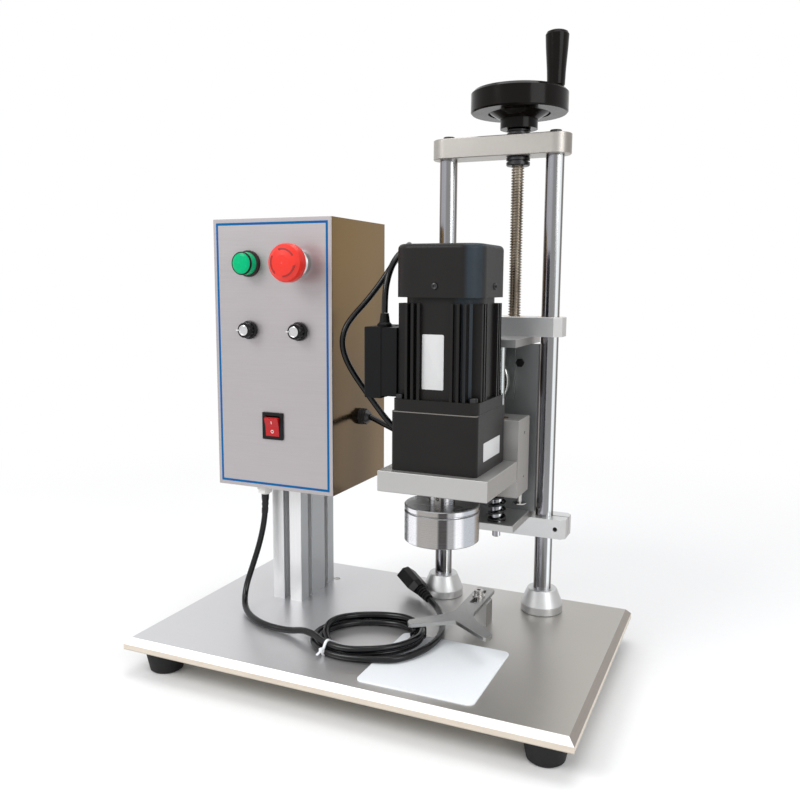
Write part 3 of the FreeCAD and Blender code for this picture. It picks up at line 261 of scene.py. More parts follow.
def polishedRod():
    edge, cool, grey, pale = (0.12, 0.10, 0.09), (0.31, 0.31, 0.345), (0.20, 0.20, 0.205), (0.86, 0.90, 0.92)
    # painted reflection: dark edges, cool and grey bands and a pale streak across the rod
    bands = [(0.0, 0.06, edge), (0.10, 0.30, cool), (0.37, 0.62, grey), (0.67, 0.80, pale),
             (0.85, 0.85, (0.15, 0.14, 0.14)), (0.93, 0.93, (0.085, 0.07, 0.06)), (1.0, 1.0, edge)]
    made = Finish("polishedRod", {"Metallic": 1.0})
    lines = made.noise(1.0, 3.0, (5200, 5200, 16))
    rings = made.noise(1.0, 2.0, (6, 6, 2400))
    made.set("Base Color", made.blend(lines * 0.2, bandsAcross(made, bands), (0.45, 0.445, 0.44)))
    made.set("Roughness", made.between(rings * 0.5 + lines * 0.5, 0.3, 0.7, 0.14, 0.22))
    made.bump(rings, 0.08, 0.00002)
    return made


def screwSteel():
    made = Finish("screwSteel", {"Metallic": 1.0})
    grease = made.noise(60, 2.0, (1, 1, 0.5))
    clean = made.between(grease, 0.35, 0.65)
    made.set("Base Color", made.blend(clean, (0.19, 0.16, 0.125), (0.30, 0.26, 0.21)))
    made.set("Roughness", made.between(grease, 0.3, 0.7, 0.24, 0.44))
    made.bump(grease, 0.1, 0.00004)
    return made


def plastic(name, colour, roughness, coat=0.0, grainScale=900, strength=0.1, depth=0.00003, mottle=0.12,
            shine=0.5):
    made = Finish(name, {"Coat Weight": coat, "Coat Roughness": 0.08, "Specular IOR Level": shine})
    grain = made.noise(grainScale, 3.0)
    clouds = made.noise(40, 3.0)
    made.set("Base Color", made.blend(clouds, shade(colour, 1 - mottle), shade(colour, 1 + mottle)))
    wearAndHighlight = grain * 0.5 + clouds * 0.5
    made.set("Roughness", made.between(wearAndHighlight, 0.3, 0.7, roughness - 0.06, roughness + 0.08))
    made.bump(grain, strength, depth)
    return made


def deckFinish():  # brushed top with painted shade towards the right, bare bevel with a painted highlight and a painted reflection on its right side, cream band below it
    levels = {"top": 0.0395, "bevel": (0.0335, 0.0345), "band": (0.0280, 0.0292)}
    made = Finish("deckAluminium")
    x, y, z = made.axes()
    out = (abs(x) - deck["halfWidth"]).larger(abs(y) - deck["halfDepth"])
    top = (z > levels["top"]) * (out < 0.0002)
    bevel = made.between(z, *levels["bevel"]) * (1 - top)
    brush = made.noise(1.0, 4.0, (14, 1500, 900))
    clouds = made.noise(5, 3.0)
    face = made.blend(brush, (0.58, 0.58, 0.60), (0.70, 0.70, 0.72))
    face = made.blend(clouds * 0.25, face, (0.58, 0.57, 0.55))
    # painted shade: the brushed top darkens towards the right
    face = made.blend(made.between(x, -0.12, 0.22, 0.0, 0.75), face, (0.36, 0.335, 0.29))
    band = made.blend(made.noise(30, 3.0, (1, 1, 6)), (0.59, 0.52, 0.43), (0.73, 0.65, 0.55))
    band = made.blend(made.between(z, *levels["band"], 1, 0), band, (0.42, 0.38, 0.31))
    # painted highlight: the bevel is white, and painted reflection: grey with fine grain on the right side
    right = (x - deck["halfWidth"]) > (abs(y) - deck["halfDepth"])
    grain = made.noise(1.0, 3.0, (900, 40, 900))
    shadedRightBevel = made.blend(grain, (0.20, 0.17, 0.15), (0.27, 0.235, 0.205))
    edge = made.blend(bevel, band, made.blend(right, (0.93, 0.93, 0.92), shadedRightBevel))
    made.set("Base Color", made.blend(top, edge, face))
    made.set("Metallic", 0.15 + top * 0.62)
    made.set("Roughness", made.between(brush, 0.2, 0.8, 0.27, 0.42))
    made.bump(brush * top, 0.25, 0.00004)
    return made


def boxFinish():  # brushed panel with a blue border line, a painted brown reflection on the bare sides
    box = {"middle": (-0.1405, 0.334), "half": (0.0765, 0.153), "inset": 0.0056, "line": 0.0014,
           "panel": -0.0126, "frontFrom": -0.011}
    made = Finish("panelSteel", {"Specular IOR Level": 0.1})
    x, y, z = made.axes()
    wide = abs(x - box["middle"][0]) - (box["half"][0] - box["inset"])
    high = abs(z - box["middle"][1]) - (box["half"][1] - box["inset"])
    border = (abs(wide.larger(high)) < box["line"]) * (y < box["panel"])
    front = (made.facing()[1] < -0.5) * (y < box["frontFrom"])
    grain = made.noise(1.0, 4.0, (30, 30, 1700))
    clouds = made.noise(7, 3.0)
    sheet = made.blend(grain, (0.392, 0.366, 0.376), (0.474, 0.446, 0.456))
    sheet = made.blend(clouds * 0.3, sheet, (0.425, 0.392, 0.392))
    # painted reflection: brown on the sides, in darker and lighter patches and paler towards the top
    reflectionPatches = made.noise(1.0, 1.0, (3, 7, 2.5))
    side = made.blend(made.between(reflectionPatches, 0.3, 0.7), (0.076, 0.047, 0.022), (0.158, 0.098, 0.040))
    side = made.blend(made.between(z, 0.30, 0.47, 0.0, 0.7), side, (0.225, 0.136, 0.042))
    colour = made.blend(front, side, sheet)
    made.set("Base Color", made.blend(border, colour, (0.002, 0.105, 0.31)))
    made.set("Metallic", (0.95 - front * 0.35) * (1 - border))
    made.set("Roughness", made.between(grain, 0.2, 0.8, 0.12, 0.19) + front * 0.22 + border * 0.1)
    made.bump(grain * (0.25 + front * 0.75), 0.18, 0.00003)
    return made


def motorPaint():  # black paint, with a painted highlight on a corner of the housing and a painted highlight along an edge of the gearbox
    levels = {"housing": 0.3045, "edge": (0.2912, 0.2921)}
    made = Finish("motorPaint", {"Specular IOR Level": 0.2})
    skin = made.noise(1400, 4.0)
    clouds = made.noise(30, 3.0)
    z = made.axes()[2]
    across = acrossSide(made)
    # painted highlight: a bluish strip down the housing's front right corner
    corner = made.between(across, 0.36, 0.52) * made.between(across, 0.78, 0.92, 1, 0)
    corner = corner * (z > levels["housing"])
    # painted highlight: a pale line along the top edge of the gearbox
    wearAndHighlight = (z > levels["edge"][0]) * (z < levels["edge"][1]) * (across < 0.8)
    paint = made.blend(clouds, (0.007, 0.0062, 0.0058), (0.011, 0.0098, 0.0092))
    paint = made.blend(corner * made.between(clouds, 0.2, 0.6, 0.6, 1.0), paint, (0.024, 0.034, 0.044))
    made.set("Base Color", made.blend(wearAndHighlight * 0.8, paint, (0.22, 0.205, 0.19)))
    made.set("Roughness", made.between(skin, 0.3, 0.7, 0.36, 0.50))
    made.bump(skin, 0.35, 0.00008)
    return made


def extrusion():
    made = Finish("anodisedPost", {"Metallic": 0.55})
    lines = made.noise(1.0, 4.0, (2200, 2200, 7))
    clouds = made.noise(12, 2.0)
    tone = made.blend(lines, (0.70, 0.70, 0.71), (0.84, 0.84, 0.84))
    tone = made.blend(clouds * 0.2, tone, (0.64, 0.64, 0.64))
    # painted shade: sides that look right are darkened
    right = made.between(made.facing()[0], 0.5, 0.95, 0.0, 0.75)
    made.set("Base Color", made.blend(right, tone, (0.30, 0.32, 0.335)))
    made.set("Roughness", made.between(lines, 0.2, 0.8, 0.30, 0.42))
    made.bump(lines, 0.3, 0.00004)
    return made


def clearSheet():
    made = Finish("clearSheet", {"IOR": 1.49, "Transmission Weight": 1.0})
    smear = made.noise(25, 4.0)
    made.set("Base Color", made.blend(smear, (0.90, 0.94, 0.93), (0.97, 0.99, 0.98)))
    made.set("Roughness", made.between(smear, 0.4, 0.8, 0.02, 0.10))
    return made


def glandFinish():  # the side gland is black, the one under the box white
    made = Finish("glandNylon", {"Coat Weight": 0.1})
    grain = made.noise(1500, 3.0)
    black = made.blend(grain, (0.015, 0.015, 0.016), (0.03, 0.03, 0.03))
    pale = made.blend(grain, (0.70, 0.69, 0.66), (0.84, 0.83, 0.80))
    made.set("Base Color", made.blend(made.axes()[0] < -0.10, black, pale))
    made.set("Roughness", made.between(grain, 0.3, 0.7, 0.34, 0.5))
    made.bump(grain, 0.2, 0.00005)
    return made


def controlFinish():  # circuit boards, tinned cans and their black coolers
    made = Finish("controlBoards")
    y = made.axes()[1]
    tracks = made.noise(260, 2.0, (1, 1, 3))
    board = made.blend(tracks > 0.55, (0.01, 0.11, 0.04), (0.03, 0.22, 0.08))
    cooler = y > 0.0005
    can = y < -0.0012
    made.set("Base Color", made.blend(can, made.blend(cooler, board, (0.03, 0.03, 0.03)), (0.55, 0.54, 0.52)))
    made.set("Metallic", can * 0.9)
    made.set("Roughness", made.between(tracks, 0.3, 0.7, 0.3, 0.5))
    made.bump(tracks, 0.3, 0.0001)
    return made


def paddedWhite():
    made = Finish("whiteSheet", {"Coat Weight": 0.15, "Coat Roughness": 0.3})
    fibres = made.noise(500, 4.0)
    soft = made.noise(9, 2.0)
    made.set("Base Color", made.blend(soft, (0.80, 0.84, 0.88), (0.90, 0.93, 0.95)))
    made.set("Roughness", made.between(fibres, 0.3, 0.7, 0.42, 0.6))
    made.bump(fibres, 0.25, 0.00008)
    return made


def lensGreen():
    # painted glow: a faint green emission brightens the lens
    made = Finish("lensGreen", {"Specular IOR Level": 0.12, "Emission Color": (0.0, 0.5, 0.22),
                                "Emission Strength": 0.12})
    ribs = made.noise(300, 3.0)
    made.set("Base Color", made.blend(ribs, (0.0, 0.34, 0.13), (0.0, 0.42, 0.17)))
    made.set("Roughness", made.between(ribs, 0.3, 0.7, 0.16, 0.28))
    made.bump(ribs, 0.15, 0.0001)
    return made


milled = {"grain": (1, 1, 0.35), "grainScale": 1400, "contrast": 0.07, "metallic": 0.82}
moulded = {"grainScale": 1800, "strength": 0.2, "depth": 0.00005, "shine": 0.2}
printed = {"strength": 0.05, "depth": 0.00002, "mottle": 0.03}
finishes = {
    "deck": deckFinish(),
    "box": boxFinish(),
    "aluminium": satinMetal("millAluminium", (0.51, 0.51, 0.505), 0.36, **milled),
    "barAluminium": satinMetal("barAluminium", (0.405, 0.385, 0.36), 0.36, **milled),
    # painted light: a brighter copy of the mill aluminium for the lit blocks
    "blockAluminium": satinMetal("blockAluminium", (0.66, 0.665, 0.67), 0.36, **milled),
    "castAluminium": satinMetal("blastedAluminium", (0.46, 0.455, 0.445), 0.42, grainScale=1900,
                                contrast=0.08, metallic=0.80, depth=0.00005),
    "shadedPlate": satinMetal("shadedPlate", (0.27, 0.28, 0.285), 0.38, **milled),
    "fork": satinMetal("platedFork", (0.35, 0.35, 0.345), 0.3, grainScale=1200, contrast=0.08, metallic=0.9,
                       depth=0.00003, shaded=0.2),
    "turned": chuckFinish(),
    "socket": satinMetal("blastedSocket", (0.60, 0.605, 0.61), 0.4, grainScale=1700, contrast=0.05,
                         metallic=0.85, shaded=0.3),
    "steel": turnedMetal("turnedSteel", (0.50, 0.49, 0.48), 0.2),
    "sheetSteel": satinMetal("sheetSteel", (0.55, 0.54, 0.53), 0.35, grain=(1, 1, 0.05), grainScale=1200),
    "rod": polishedRod(),
    "screw": screwSteel(),
    "post": extrusion(),
    "bronze": turnedMetal("bronze", (0.62, 0.42, 0.20), 0.3),
    "blackOxide": satinMetal("blackOxide", (0.05, 0.05, 0.052), 0.34, grainScale=1500, contrast=0.2),
    "motor": motorPaint(),
    "gloss": plastic("glossBakelite", (0.005, 0.0038, 0.0032), 0.16, coat=0.02, grainScale=700, strength=0.06,
                     shine=0.1),
    "blackPlastic": plastic("blackPlastic", (0.005, 0.005, 0.0055), 0.38, **moulded),
    "knob": plastic("knobPlastic", (0.004, 0.004, 0.0045), 0.26, coat=0.05, depth=0.00005, shine=0.2),
    "junction": plastic("junctionPlastic", (0.004, 0.0042, 0.0048), 0.46, grainScale=1500, strength=0.3,
                        depth=0.00008, shine=0.15),
    "rubber": plastic("footRubber", (0.012, 0.0115, 0.012), 0.66, grainScale=1100, strength=0.4, depth=0.0001,
                      mottle=0.2, shine=0.3),
    "cord": plastic("cordSheath", (0.004, 0.004, 0.005), 0.22, coat=0.05, grainScale=1300, strength=0.12,
                    mottle=0.2, shine=0.3),
    "plug": plastic("plugPlastic", (0.005, 0.0045, 0.005), 0.42, grainScale=1500, strength=0.3, depth=0.00005,
                    shine=0.18),
    "nylon": plastic("whiteNylon", (0.80, 0.82, 0.84), 0.3, coat=0.2, grainScale=600, mottle=0.05),
    "red": plastic("stopRed", (0.74, 0.030, 0.018), 0.36, coat=0.08, mottle=0.06, shine=0.3),
    "darkRed": plastic("arrowRed", (0.30, 0.008, 0.006), 0.5, mottle=0.1),
    "rocker": plastic("rockerRed", (0.42, 0.006, 0.008), 0.14, coat=0.1, grainScale=400, strength=0.05,
                      mottle=0.18, shine=0.3),
    "lens": lensGreen(),
    "collar": satinMetal("collarZinc", (0.62, 0.62, 0.63), 0.4, grainScale=1500),
    "bezel": plastic("bezelBrown", (0.020, 0.014, 0.013), 0.4, **moulded),
    "silver": turnedMetal("knobSilver", (0.62, 0.62, 0.63), 0.2),
    "print": plastic("whitePrint", (0.85, 0.84, 0.83), 0.45, **printed),
    "label": plastic("blankLabel", (0.60, 0.60, 0.60), 0.4, **printed),
    "pad": paddedWhite(),
    "clear": clearSheet(),
    "gland": glandFinish(),
    "boards": controlFinish(),
    "grip": plastic("gripRubber", (0.55, 0.30, 0.10), 0.5, strength=0.4, depth=0.0001, mottle=0.15),
}

dressing = {
    "base_plate": "deck", "rubber_feet": "rubber", "frame_screws": "blackOxide", "guide_rods": "rod",
    "rod_sockets": "socket", "top_bar": "barAluminium", "profile_post": "post", "bottle_pad": "pad",
    "box_shell": "box", "box_back": "sheetSteel", "lamp_bezel": "bezel", "lamp_lens": "lens",
    "estop_collar": "collar", "estop_button": "red", "speed_controls": "boards", "knob_left": "knob",
    "knob_right": "knob", "switch_frame": "blackPlastic", "switch_rocker": "rocker",
    "cable_glands": "gland", "power_cord": "cord", "cord_coil": "cord", "cord_plug": "plug",
    "cord_tie": "nylon", "motor_cable": "cord", "locator_stand": "aluminium", "locator_screw": "steel",
    "locator_fork": "fork", "lead_screw": "screw", "thrust_nuts": "blackOxide", "handwheel": "gloss",
    "handle_grip": "gloss", "upper_block": "blockAluminium", "rod_bushings": "bronze",
    "screw_nut": "bronze", "shelf_plate": "aluminium", "back_plate": "shadedPlate",
    "floor_plate": "aluminium", "clamp_block": "blockAluminium", "carriage_screws": "blackOxide",
    "guide_shafts": "rod", "buffer_springs": "blackOxide", "lift_motor": "sheetSteel", "cam_guard": "clear",
    "lift_cam": "steel", "slide_block": "castAluminium", "slide_bushings": "bronze",
    "cam_follower": "steel", "stop_bolt": "steel", "motor_plate": "castAluminium", "gearbox": "motor",
    "motor_body": "motor", "motor_screws": "blackOxide", "fan_cover": "motor", "motor_fan": "blackPlastic",
    "terminal_box": "junction", "output_shaft": "steel", "chuck_disc": "turned", "chuck_cup": "turned",
    "chuck_insert": "grip",
}
for name, finish in dressing.items():
    nodes[name].data.materials.clear()
    nodes[name].data.materials.append(finishes[finish].material)
print("finishes on", len(dressing), "nodes")


# helpers for new pieces
def link(name, data, finish, body):
    piece = bpy.data.objects.new(name, data)
    bpy.context.scene.collection.objects.link(piece)
    data.materials.append(finishes[finish].material)
    if body:
        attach(piece, body)
    return piece


def pieceFrom(made, name, finish, body, sharp=35):  # edges over sharp degrees stay crisp
    bmesh.ops.remove_doubles(made, verts=made.verts[:], dist=0.000001)
    bmesh.ops.recalc_face_normals(made, faces=made.faces[:])
    mesh = bpy.data.meshes.new(name)
    made.to_mesh(mesh)
    made.free()
    for face in mesh.polygons:
        face.use_smooth = True
    mesh.set_sharp_from_angle(angle=radians(sharp))
    return link(name, mesh, finish, body)


def spunShape(profile, steps, into=None):  # (radius, height) points turned about Z
    made = into or bmesh.new()
    points = [made.verts.new((r, 0, z)) for r, z in profile]
    edges = [made.edges.new(pair) for pair in zip(points, points[1:])]
    bmesh.ops.spin(made, geom=points + edges, cent=(0, 0, 0), axis=(0, 0, 1), angle=2 * pi, steps=steps,
                   use_merge=True)
    return made


def move(made, matrix):
    bmesh.ops.transform(made, matrix=matrix, verts=made.verts[:])


def join(made, other):  # puts the other shape into the first
    holder = bpy.data.meshes.new("holder")
    other.to_mesh(holder)
    other.free()
    made.from_mesh(holder)
    bpy.data.meshes.remove(holder)


def turned(degrees, axis):
    return Matrix.Rotation(radians(degrees), 4, axis)


def facingFront(place):  # upright shape turned so that its top looks at the front
    return Matrix.Translation(place) @ turned(90, "X")


def block(made, matrix, size):
    return bmesh.ops.create_cube(made, size=1, matrix=matrix @ Matrix.Diagonal((*size, 1)))


def plate(width, height, thick, radius, bevel):  # rounded plate in XY, resting on Z 0
    made = bmesh.new()
    block(made, Matrix.Translation((0, 0, thick / 2)), (width, height, thick))
    upright = [e for e in made.edges if abs(e.verts[0].co.z - e.verts[1].co.z) > thick / 2]
    bmesh.ops.bevel(made, geom=upright, offset=radius, affect="EDGES", segments=4, profile=0.5, material=-1)
    rim = [e for e in made.edges if all(v.co.z > thick * 0.9 for v in e.verts)]
    bmesh.ops.bevel(made, geom=rim, offset=bevel, affect="EDGES", segments=2, profile=0.5, material=-1)
    return made


def curveLine(name, points, radius, kind="NURBS"):
    line = bpy.data.curves.new(name, "CURVE")
    line.dimensions = "3D"
    line.resolution_u = 10
    line.bevel_depth = radius
    line.bevel_resolution = 4
    line.use_fill_caps = True
    spline = line.splines.new(kind)
    spline.points.add(len(points) - 1)
    for knot, point in zip(spline.points, points):
        knot.co = (*point, 1)
    if kind == "NURBS":
        spline.order_u = 3
        spline.use_endpoint_u = True
    return line


def meshOf(line):
    holder = bpy.data.objects.new(line.name + "Holder", line)
    bpy.context.scene.collection.objects.link(holder)
    mesh = bpy.data.meshes.new_from_object(holder)
    bpy.data.objects.remove(holder)
    return mesh


def pointsAlong(name, points):  # points read from the smooth line, with no thickness
    mesh = meshOf(curveLine(name, points, 0))
    found = [v.co.copy() for v in mesh.vertices]
    bpy.data.meshes.remove(mesh)
    return found


def tube(name, path, radius):  # along points already read from a line
    made = bmesh.new()
    mesh = meshOf(curveLine(name, path, radius, "POLY"))
    made.from_mesh(mesh)
    bpy.data.meshes.remove(mesh)
    return made


def lineLength(points):
    return sum((b - a).length for a, b in zip(points, points[1:]))


# power cord: lead, tied turns and tail on one line
cordFacts = {"radius": 0.0035, "centre": (0.236, 0.097), "long": 0.0595, "short": 0.0490, "turn": 23.9,
             "low": 0.0037, "onPad": 0.0053, "padEdge": (0.232, 0.258), "lane": 0.0077, "onTop": 0.0068,
             "slack": 0.0008, "sway": 0.0004, "swayFrom": 560, "start": 210, "leave": 1342, "step": 20}

lead = [(0.0735, 0.150, 0.131), (0.0736, 0.1496, 0.114), (0.0722, 0.147, 0.092), (0.0683, 0.142, 0.068),
        (0.0636, 0.135, 0.045), (0.0608, 0.1268, 0.026), (0.0632, 0.1185, 0.013), (0.071, 0.108, 0.0063),
        (0.0845, 0.096, 0.0040), (0.103, 0.0846, 0.0039), (0.1215, 0.0783, 0.0039), (0.139, 0.0766, 0.0040),
        (0.154, 0.075, 0.0056), (0.1665, 0.0718, 0.0098), (0.178, 0.068, 0.0116), (0.189, 0.0632, 0.0116)]
tail = [(0.268, 0.0515, 0.0058), (0.283, 0.0585, 0.0056), (0.294, 0.073, 0.0056), (0.3015, 0.092, 0.0056),
        (0.3045, 0.114, 0.0056), (0.3015, 0.140, 0.0048), (0.2925, 0.166, 0.0046), (0.280, 0.188, 0.0066),
        (0.269, 0.2005, 0.0086), (0.259, 0.2086, 0.0106)]


def coilPoint(angle, inward, lift):  # on the oval of the turns, moved inward and lifted
    u = (cordFacts["long"] - inward) * cos(radians(angle))
    w = (cordFacts["short"] - inward) * sin(radians(angle))
    turn = radians(cordFacts["turn"])
    x = cordFacts["centre"][0] + u * cos(turn) - w * sin(turn)
    y = cordFacts["centre"][1] + u * sin(turn) + w * cos(turn)
    rest = cordFacts["low"] + (cordFacts["onPad"] - cordFacts["low"]) * smooth(x, *cordFacts["padEdge"])
    return (x, y, rest + lift)


def coilSlot(turns):  # where in the bundle the cord lies after so many turns: (inward, lift)
    lane = cordFacts["lane"]
    done = turns % 1
    if turns < 1:  # on top, then over its neighbour and down on the inside
        lift = cordFacts["onTop"] + 0.0007 * smooth(done, 0.2, 0.3) - 0.0005 * smooth(done, 0.60, 0.68)
        hump = 0.0010 * smooth(done, 0.70, 0.80)
        return lane * (0.5 + 1.5 * smooth(done, 0.74, 0.97)), (lift + hump) * (1 - smooth(done, 0.82, 0.97))
    if turns < 3:  # flat, and one lane further out with each turn
        return lane * (3 - int(turns) - smooth(done, 0.28, 0.58)), 0.0
    return 0.0, 0.0


coil = []
for angle in range(cordFacts["start"], cordFacts["leave"] + 1, cordFacts["step"]):
    inward, lift = coilSlot((angle - cordFacts["start"]) / 360)
    sway = cordFacts["sway"] * sin(radians(angle * 0.73)) if angle > cordFacts["swayFrom"] else 0.0
    coil.append(coilPoint(angle, inward + sway - cordFacts["slack"], lift))
route = [onDeck(*p) for p in lead + coil + tail]

cordPath = pointsAlong("powerCordPath", route)
cordLine = curveLine("powerCord", route, cordFacts["radius"])
powerCord = link("powerCord", cordLine, "cord", "root")
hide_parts("power_cord", "cord_coil")
print("power cord", round(lineLength(cordPath), 3), "m")

# motor cable, cut in two where it passes from the carriage to the head
cableFacts = {"radius": 0.0033, "cut": 0.72, "bendsFrom": 0.262, "bendsTo": 0.004,
              "headFrom": (0.002, -0.012, 0), "headTo": (0, 0, 0.03)}
cableRoute = [(0.183, 0.207, 0.2216), (0.194, 0.2072, 0.2172), (0.207, 0.2086, 0.211),
              (0.221, 0.2082, 0.206), (0.234, 0.2034, 0.2034), (0.2434, 0.1932, 0.2021),
              (0.2471, 0.1801, 0.2052), (0.244, 0.168, 0.2115), (0.235, 0.1604, 0.2198),
              (0.2235, 0.160, 0.2308), (0.211, 0.1628, 0.2435), (0.199, 0.162, 0.2585),
              (0.1885, 0.1555, 0.2765), (0.181, 0.1485, 0.295), (0.178, 0.146, 0.3125),
              (0.1806, 0.1493, 0.3285), (0.1873, 0.1563, 0.3415), (0.196, 0.164, 0.3535),
              (0.205, 0.171, 0.367), (0.2145, 0.1775, 0.3825), (0.2223, 0.1839, 0.3981),
              (0.2329, 0.1829, 0.4098), (0.2443, 0.1742, 0.4166), (0.2519, 0.1604, 0.4172),
              (0.2528, 0.1436, 0.4114), (0.2495, 0.129, 0.4015), (0.2475, 0.1185, 0.388),
              (0.2465, 0.1125, 0.373), (0.2465, 0.1102, 0.359), (0.2465, 0.110, 0.3468)]
cablePath = pointsAlong("motorCablePath", [onDeck(*p) for p in cableRoute])
cutAt = int(len(cablePath) * cableFacts["cut"])
lowerPath = cablePath[:cutAt + 1]
upperPath = cablePath[cutAt:]


def cablePiece(name, path):
    made = pieceFrom(tube(name, path, cableFacts["radius"]), name, "cord", None, 50)
    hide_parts("motor_cable")
    return made


cableLower = cablePiece("motorCableLower", lowerPath)
cableUpper = cablePiece("motorCableUpper", upperPath)
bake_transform(cableLower)
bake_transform(cableUpper)
print("motor cable", round(lineLength(cablePath), 3), "m")

# tapered sleeve where the mains lead leaves the gland
sleeve = {"length": 0.024, "top": 0.0046, "low": 0.0038, "rings": 4, "groove": 0.0005}
reach = [p for p in cordPath if p.z > route[0].z - sleeve["length"]]
made = bmesh.new()
rims = []
for point in reach:
    down = (route[0].z - point.z) / sleeve["length"]
    radius = sleeve["top"] + (sleeve["low"] - sleeve["top"]) * down
    if 0.15 < down < 0.85 and int(down * 2 * sleeve["rings"]) % 2:
        radius -= sleeve["groove"]
    ring = bmesh.ops.create_circle(made, cap_ends=False, segments=20, radius=radius,
                                   matrix=Matrix.Translation(point))
    rims.append([e for v in ring["verts"] for e in v.link_edges])
for low, high in zip(rims, rims[1:]):
    bmesh.ops.bridge_loops(made, edges=list(set(low + high)))
cordSleeve = pieceFrom(made, "cordSleeve", "cord", "root", 40)

# ties: slots are the strands' places in the bundle (inward, lift), knot the middle of the lock
lane = cordFacts["lane"]
ties = {
    "whiteTie": {"angle": 222, "slots": [(0, 0), (lane, 0), (2 * lane, 0), (lane / 2, 0.0068)],
                 "width": 0.003, "lock": 0.0045, "knot": (0.0052, 0, 0.0065), "tag": 0.009,
                 "finish": "nylon", "slot": "tie_white"},
    "blackTie": {"angle": 366, "slots": [(0.0038, 0), (0.0116, 0), (lane / 2, 0.0075)],
                 "width": 0.004, "lock": 0.003, "knot": (-0.0095, 0, 0.0145), "tag": 0.0,
                 "finish": "blackPlastic", "slot": "cord_black"},
}
strap = {"gap": 0.0001, "thick": 0.0011, "lock": (0.004, 0.0046), "round": 0.0006, "tagThick": 0.001,
         "tagLean": 0.4, "steps": 72}


def tieAround(name):  # a band drawn tight over the strands that pass at its angle
    tie = ties[name]
    inner = cordFacts["radius"] + strap["gap"]
    outer = inner + strap["thick"]
    made = bmesh.new()
    centres = [Vector((-inward, coilPoint(tie["angle"], inward, lift)[2])) for inward, lift in tie["slots"]]
    ground = coilPoint(tie["angle"], 0, 0)[2] - inner
    rings = []
    for k in range(strap["steps"]):
        turn = 2 * pi * k / strap["steps"]
        out = Vector((cos(turn), sin(turn)))
        middle = max(centres, key=out.dot)
        ring = []
        for radius, side, least in ((inner, -1, 0.0002), (outer, -1, 0), (outer, 1, 0), (inner, 1, 0.0002)):
            spot = middle + out * radius
            ring.append(made.verts.new((spot.x, side * tie["width"] / 2, max(spot.y, ground + least))))
        rings.append(ring)
    for ring, ahead in zip(rings, rings[1:] + rings[:1]):
        for k in range(4):
            made.faces.new((ring[k], ring[(k + 1) % 4], ahead[(k + 1) % 4], ahead[k]))
    head = block(made, Matrix.Translation(tie["knot"]), (*strap["lock"], tie["lock"]))
    edges = list({e for v in head["verts"] for e in v.link_edges})
    bmesh.ops.bevel(made, geom=edges, offset=strap["round"], affect="EDGES", segments=2, profile=0.5,
                    material=-1)
    if tie["tag"]:  # free end of the strap
        x, y, z = tie["knot"]
        strip = Matrix.Translation((x + tie["tag"] * 0.3, y, z - tie["tag"] * 0.125))
        strip = strip @ Matrix.Rotation(strap["tagLean"], 4, "Y")
        block(made, strip, (tie["tag"], tie["width"] * 0.85, strap["tagThick"]))
    here = Vector(coilPoint(tie["angle"], 0, 0))
    ahead = Vector(coilPoint(tie["angle"] + 2, 0, 0)) - here
    across = Vector((ahead.y, -ahead.x, 0)).normalized()
    upward = Vector((0, 0, 1))
    axes = Matrix((across, upward.cross(across), upward)).transposed().to_4x4()
    move(made, Matrix.Translation(onDeck(here.x, here.y, 0)) @ axes)
    return pieceFrom(made, name, tie["finish"], "root", 30)


whiteTie = tieAround("whiteTie")
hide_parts("cord_tie")
blackTie = tieAround("blackTie")

print("cords done")

# lead screw with its thread
screw = {"x": 0.3386, "y": 0.260, "low": 0.250, "top": 0.5152, "pitch": 0.003, "crest": 0.0070,
         "root": 0.0056, "journal": 0.006, "journalTop": 0.570, "steps": 24}
pitch = screw["pitch"]
count = int((screw["top"] - screw["low"]) / pitch) + 3
tooth = [("root", 0), ("root", 0.36), ("crest", 0.52), ("crest", 0.84), ("root", 1.0)]  # heights in pitches
made = bmesh.new()
points = [made.verts.new((screw[level], 0, z * pitch)) for level, z in tooth]
edges = [made.edges.new(pair) for pair in zip(points, points[1:])]
bmesh.ops.spin(made, geom=points + edges, cent=(0, 0, 0), axis=(0, 0, 1), angle=2 * pi * count,
               steps=screw["steps"] * count, dvec=(0, 0, pitch / screw["steps"]), use_merge=False)
bmesh.ops.remove_doubles(made, verts=made.verts[:], dist=0.00001)
move(made, Matrix.Translation((0, 0, screw["low"] - 1.4 * pitch)))
for height, side in ((screw["low"], (0, 0, -1)), (screw["top"], (0, 0, 1))):  # cut both ends flat
    cut = bmesh.ops.bisect_plane(made, geom=made.verts[:] + made.edges[:] + made.faces[:],
                                 plane_co=(0, 0, height), plane_no=side, clear_outer=True)
    rim = [e for e in cut["geom_cut"] if isinstance(e, bmesh.types.BMEdge)]
    bmesh.ops.holes_fill(made, edges=rim, sides=0)
spunShape([(0, screw["top"]), (screw["journal"], screw["top"]), (screw["journal"], screw["journalTop"]),
           (0, screw["journalTop"])], 24, made)
move(made, Matrix.Translation(onDeck(screw["x"], screw["y"], 0)))
leadScrew = pieceFrom(made, "leadScrewThread", "screw", "spindle", 28)
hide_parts("lead_screw")
print("lead screw", count, "turns")

# control panel: places of the lamp, the stop button, the knobs and the switch as x and height
panel = {"front": 0.137, "lamp": (0.066, 0.3975), "stop": (0.131, 0.3975), "left_knob": (0.066, 0.3235),
         "right_knob": (0.131, 0.3235), "switch": (0.0945, 0.215)}


def onPanel(place):
    return facingFront(onDeck(place[0], panel["front"], place[1]))


made = spunShape([(0.0116, 0.0150), (0.0117, 0.0160), (0.0120, 0.0162), (0.0125, 0.0158), (0.0129, 0.0149),
                  (0.0129, 0.0138), (0.0125, 0.0136), (0.0124, 0.0140), (0.0116, 0.0150)], 64)
move(made, onPanel(panel["lamp"]))
pieceFrom(made, "lampRim", "blackPlastic", "root")

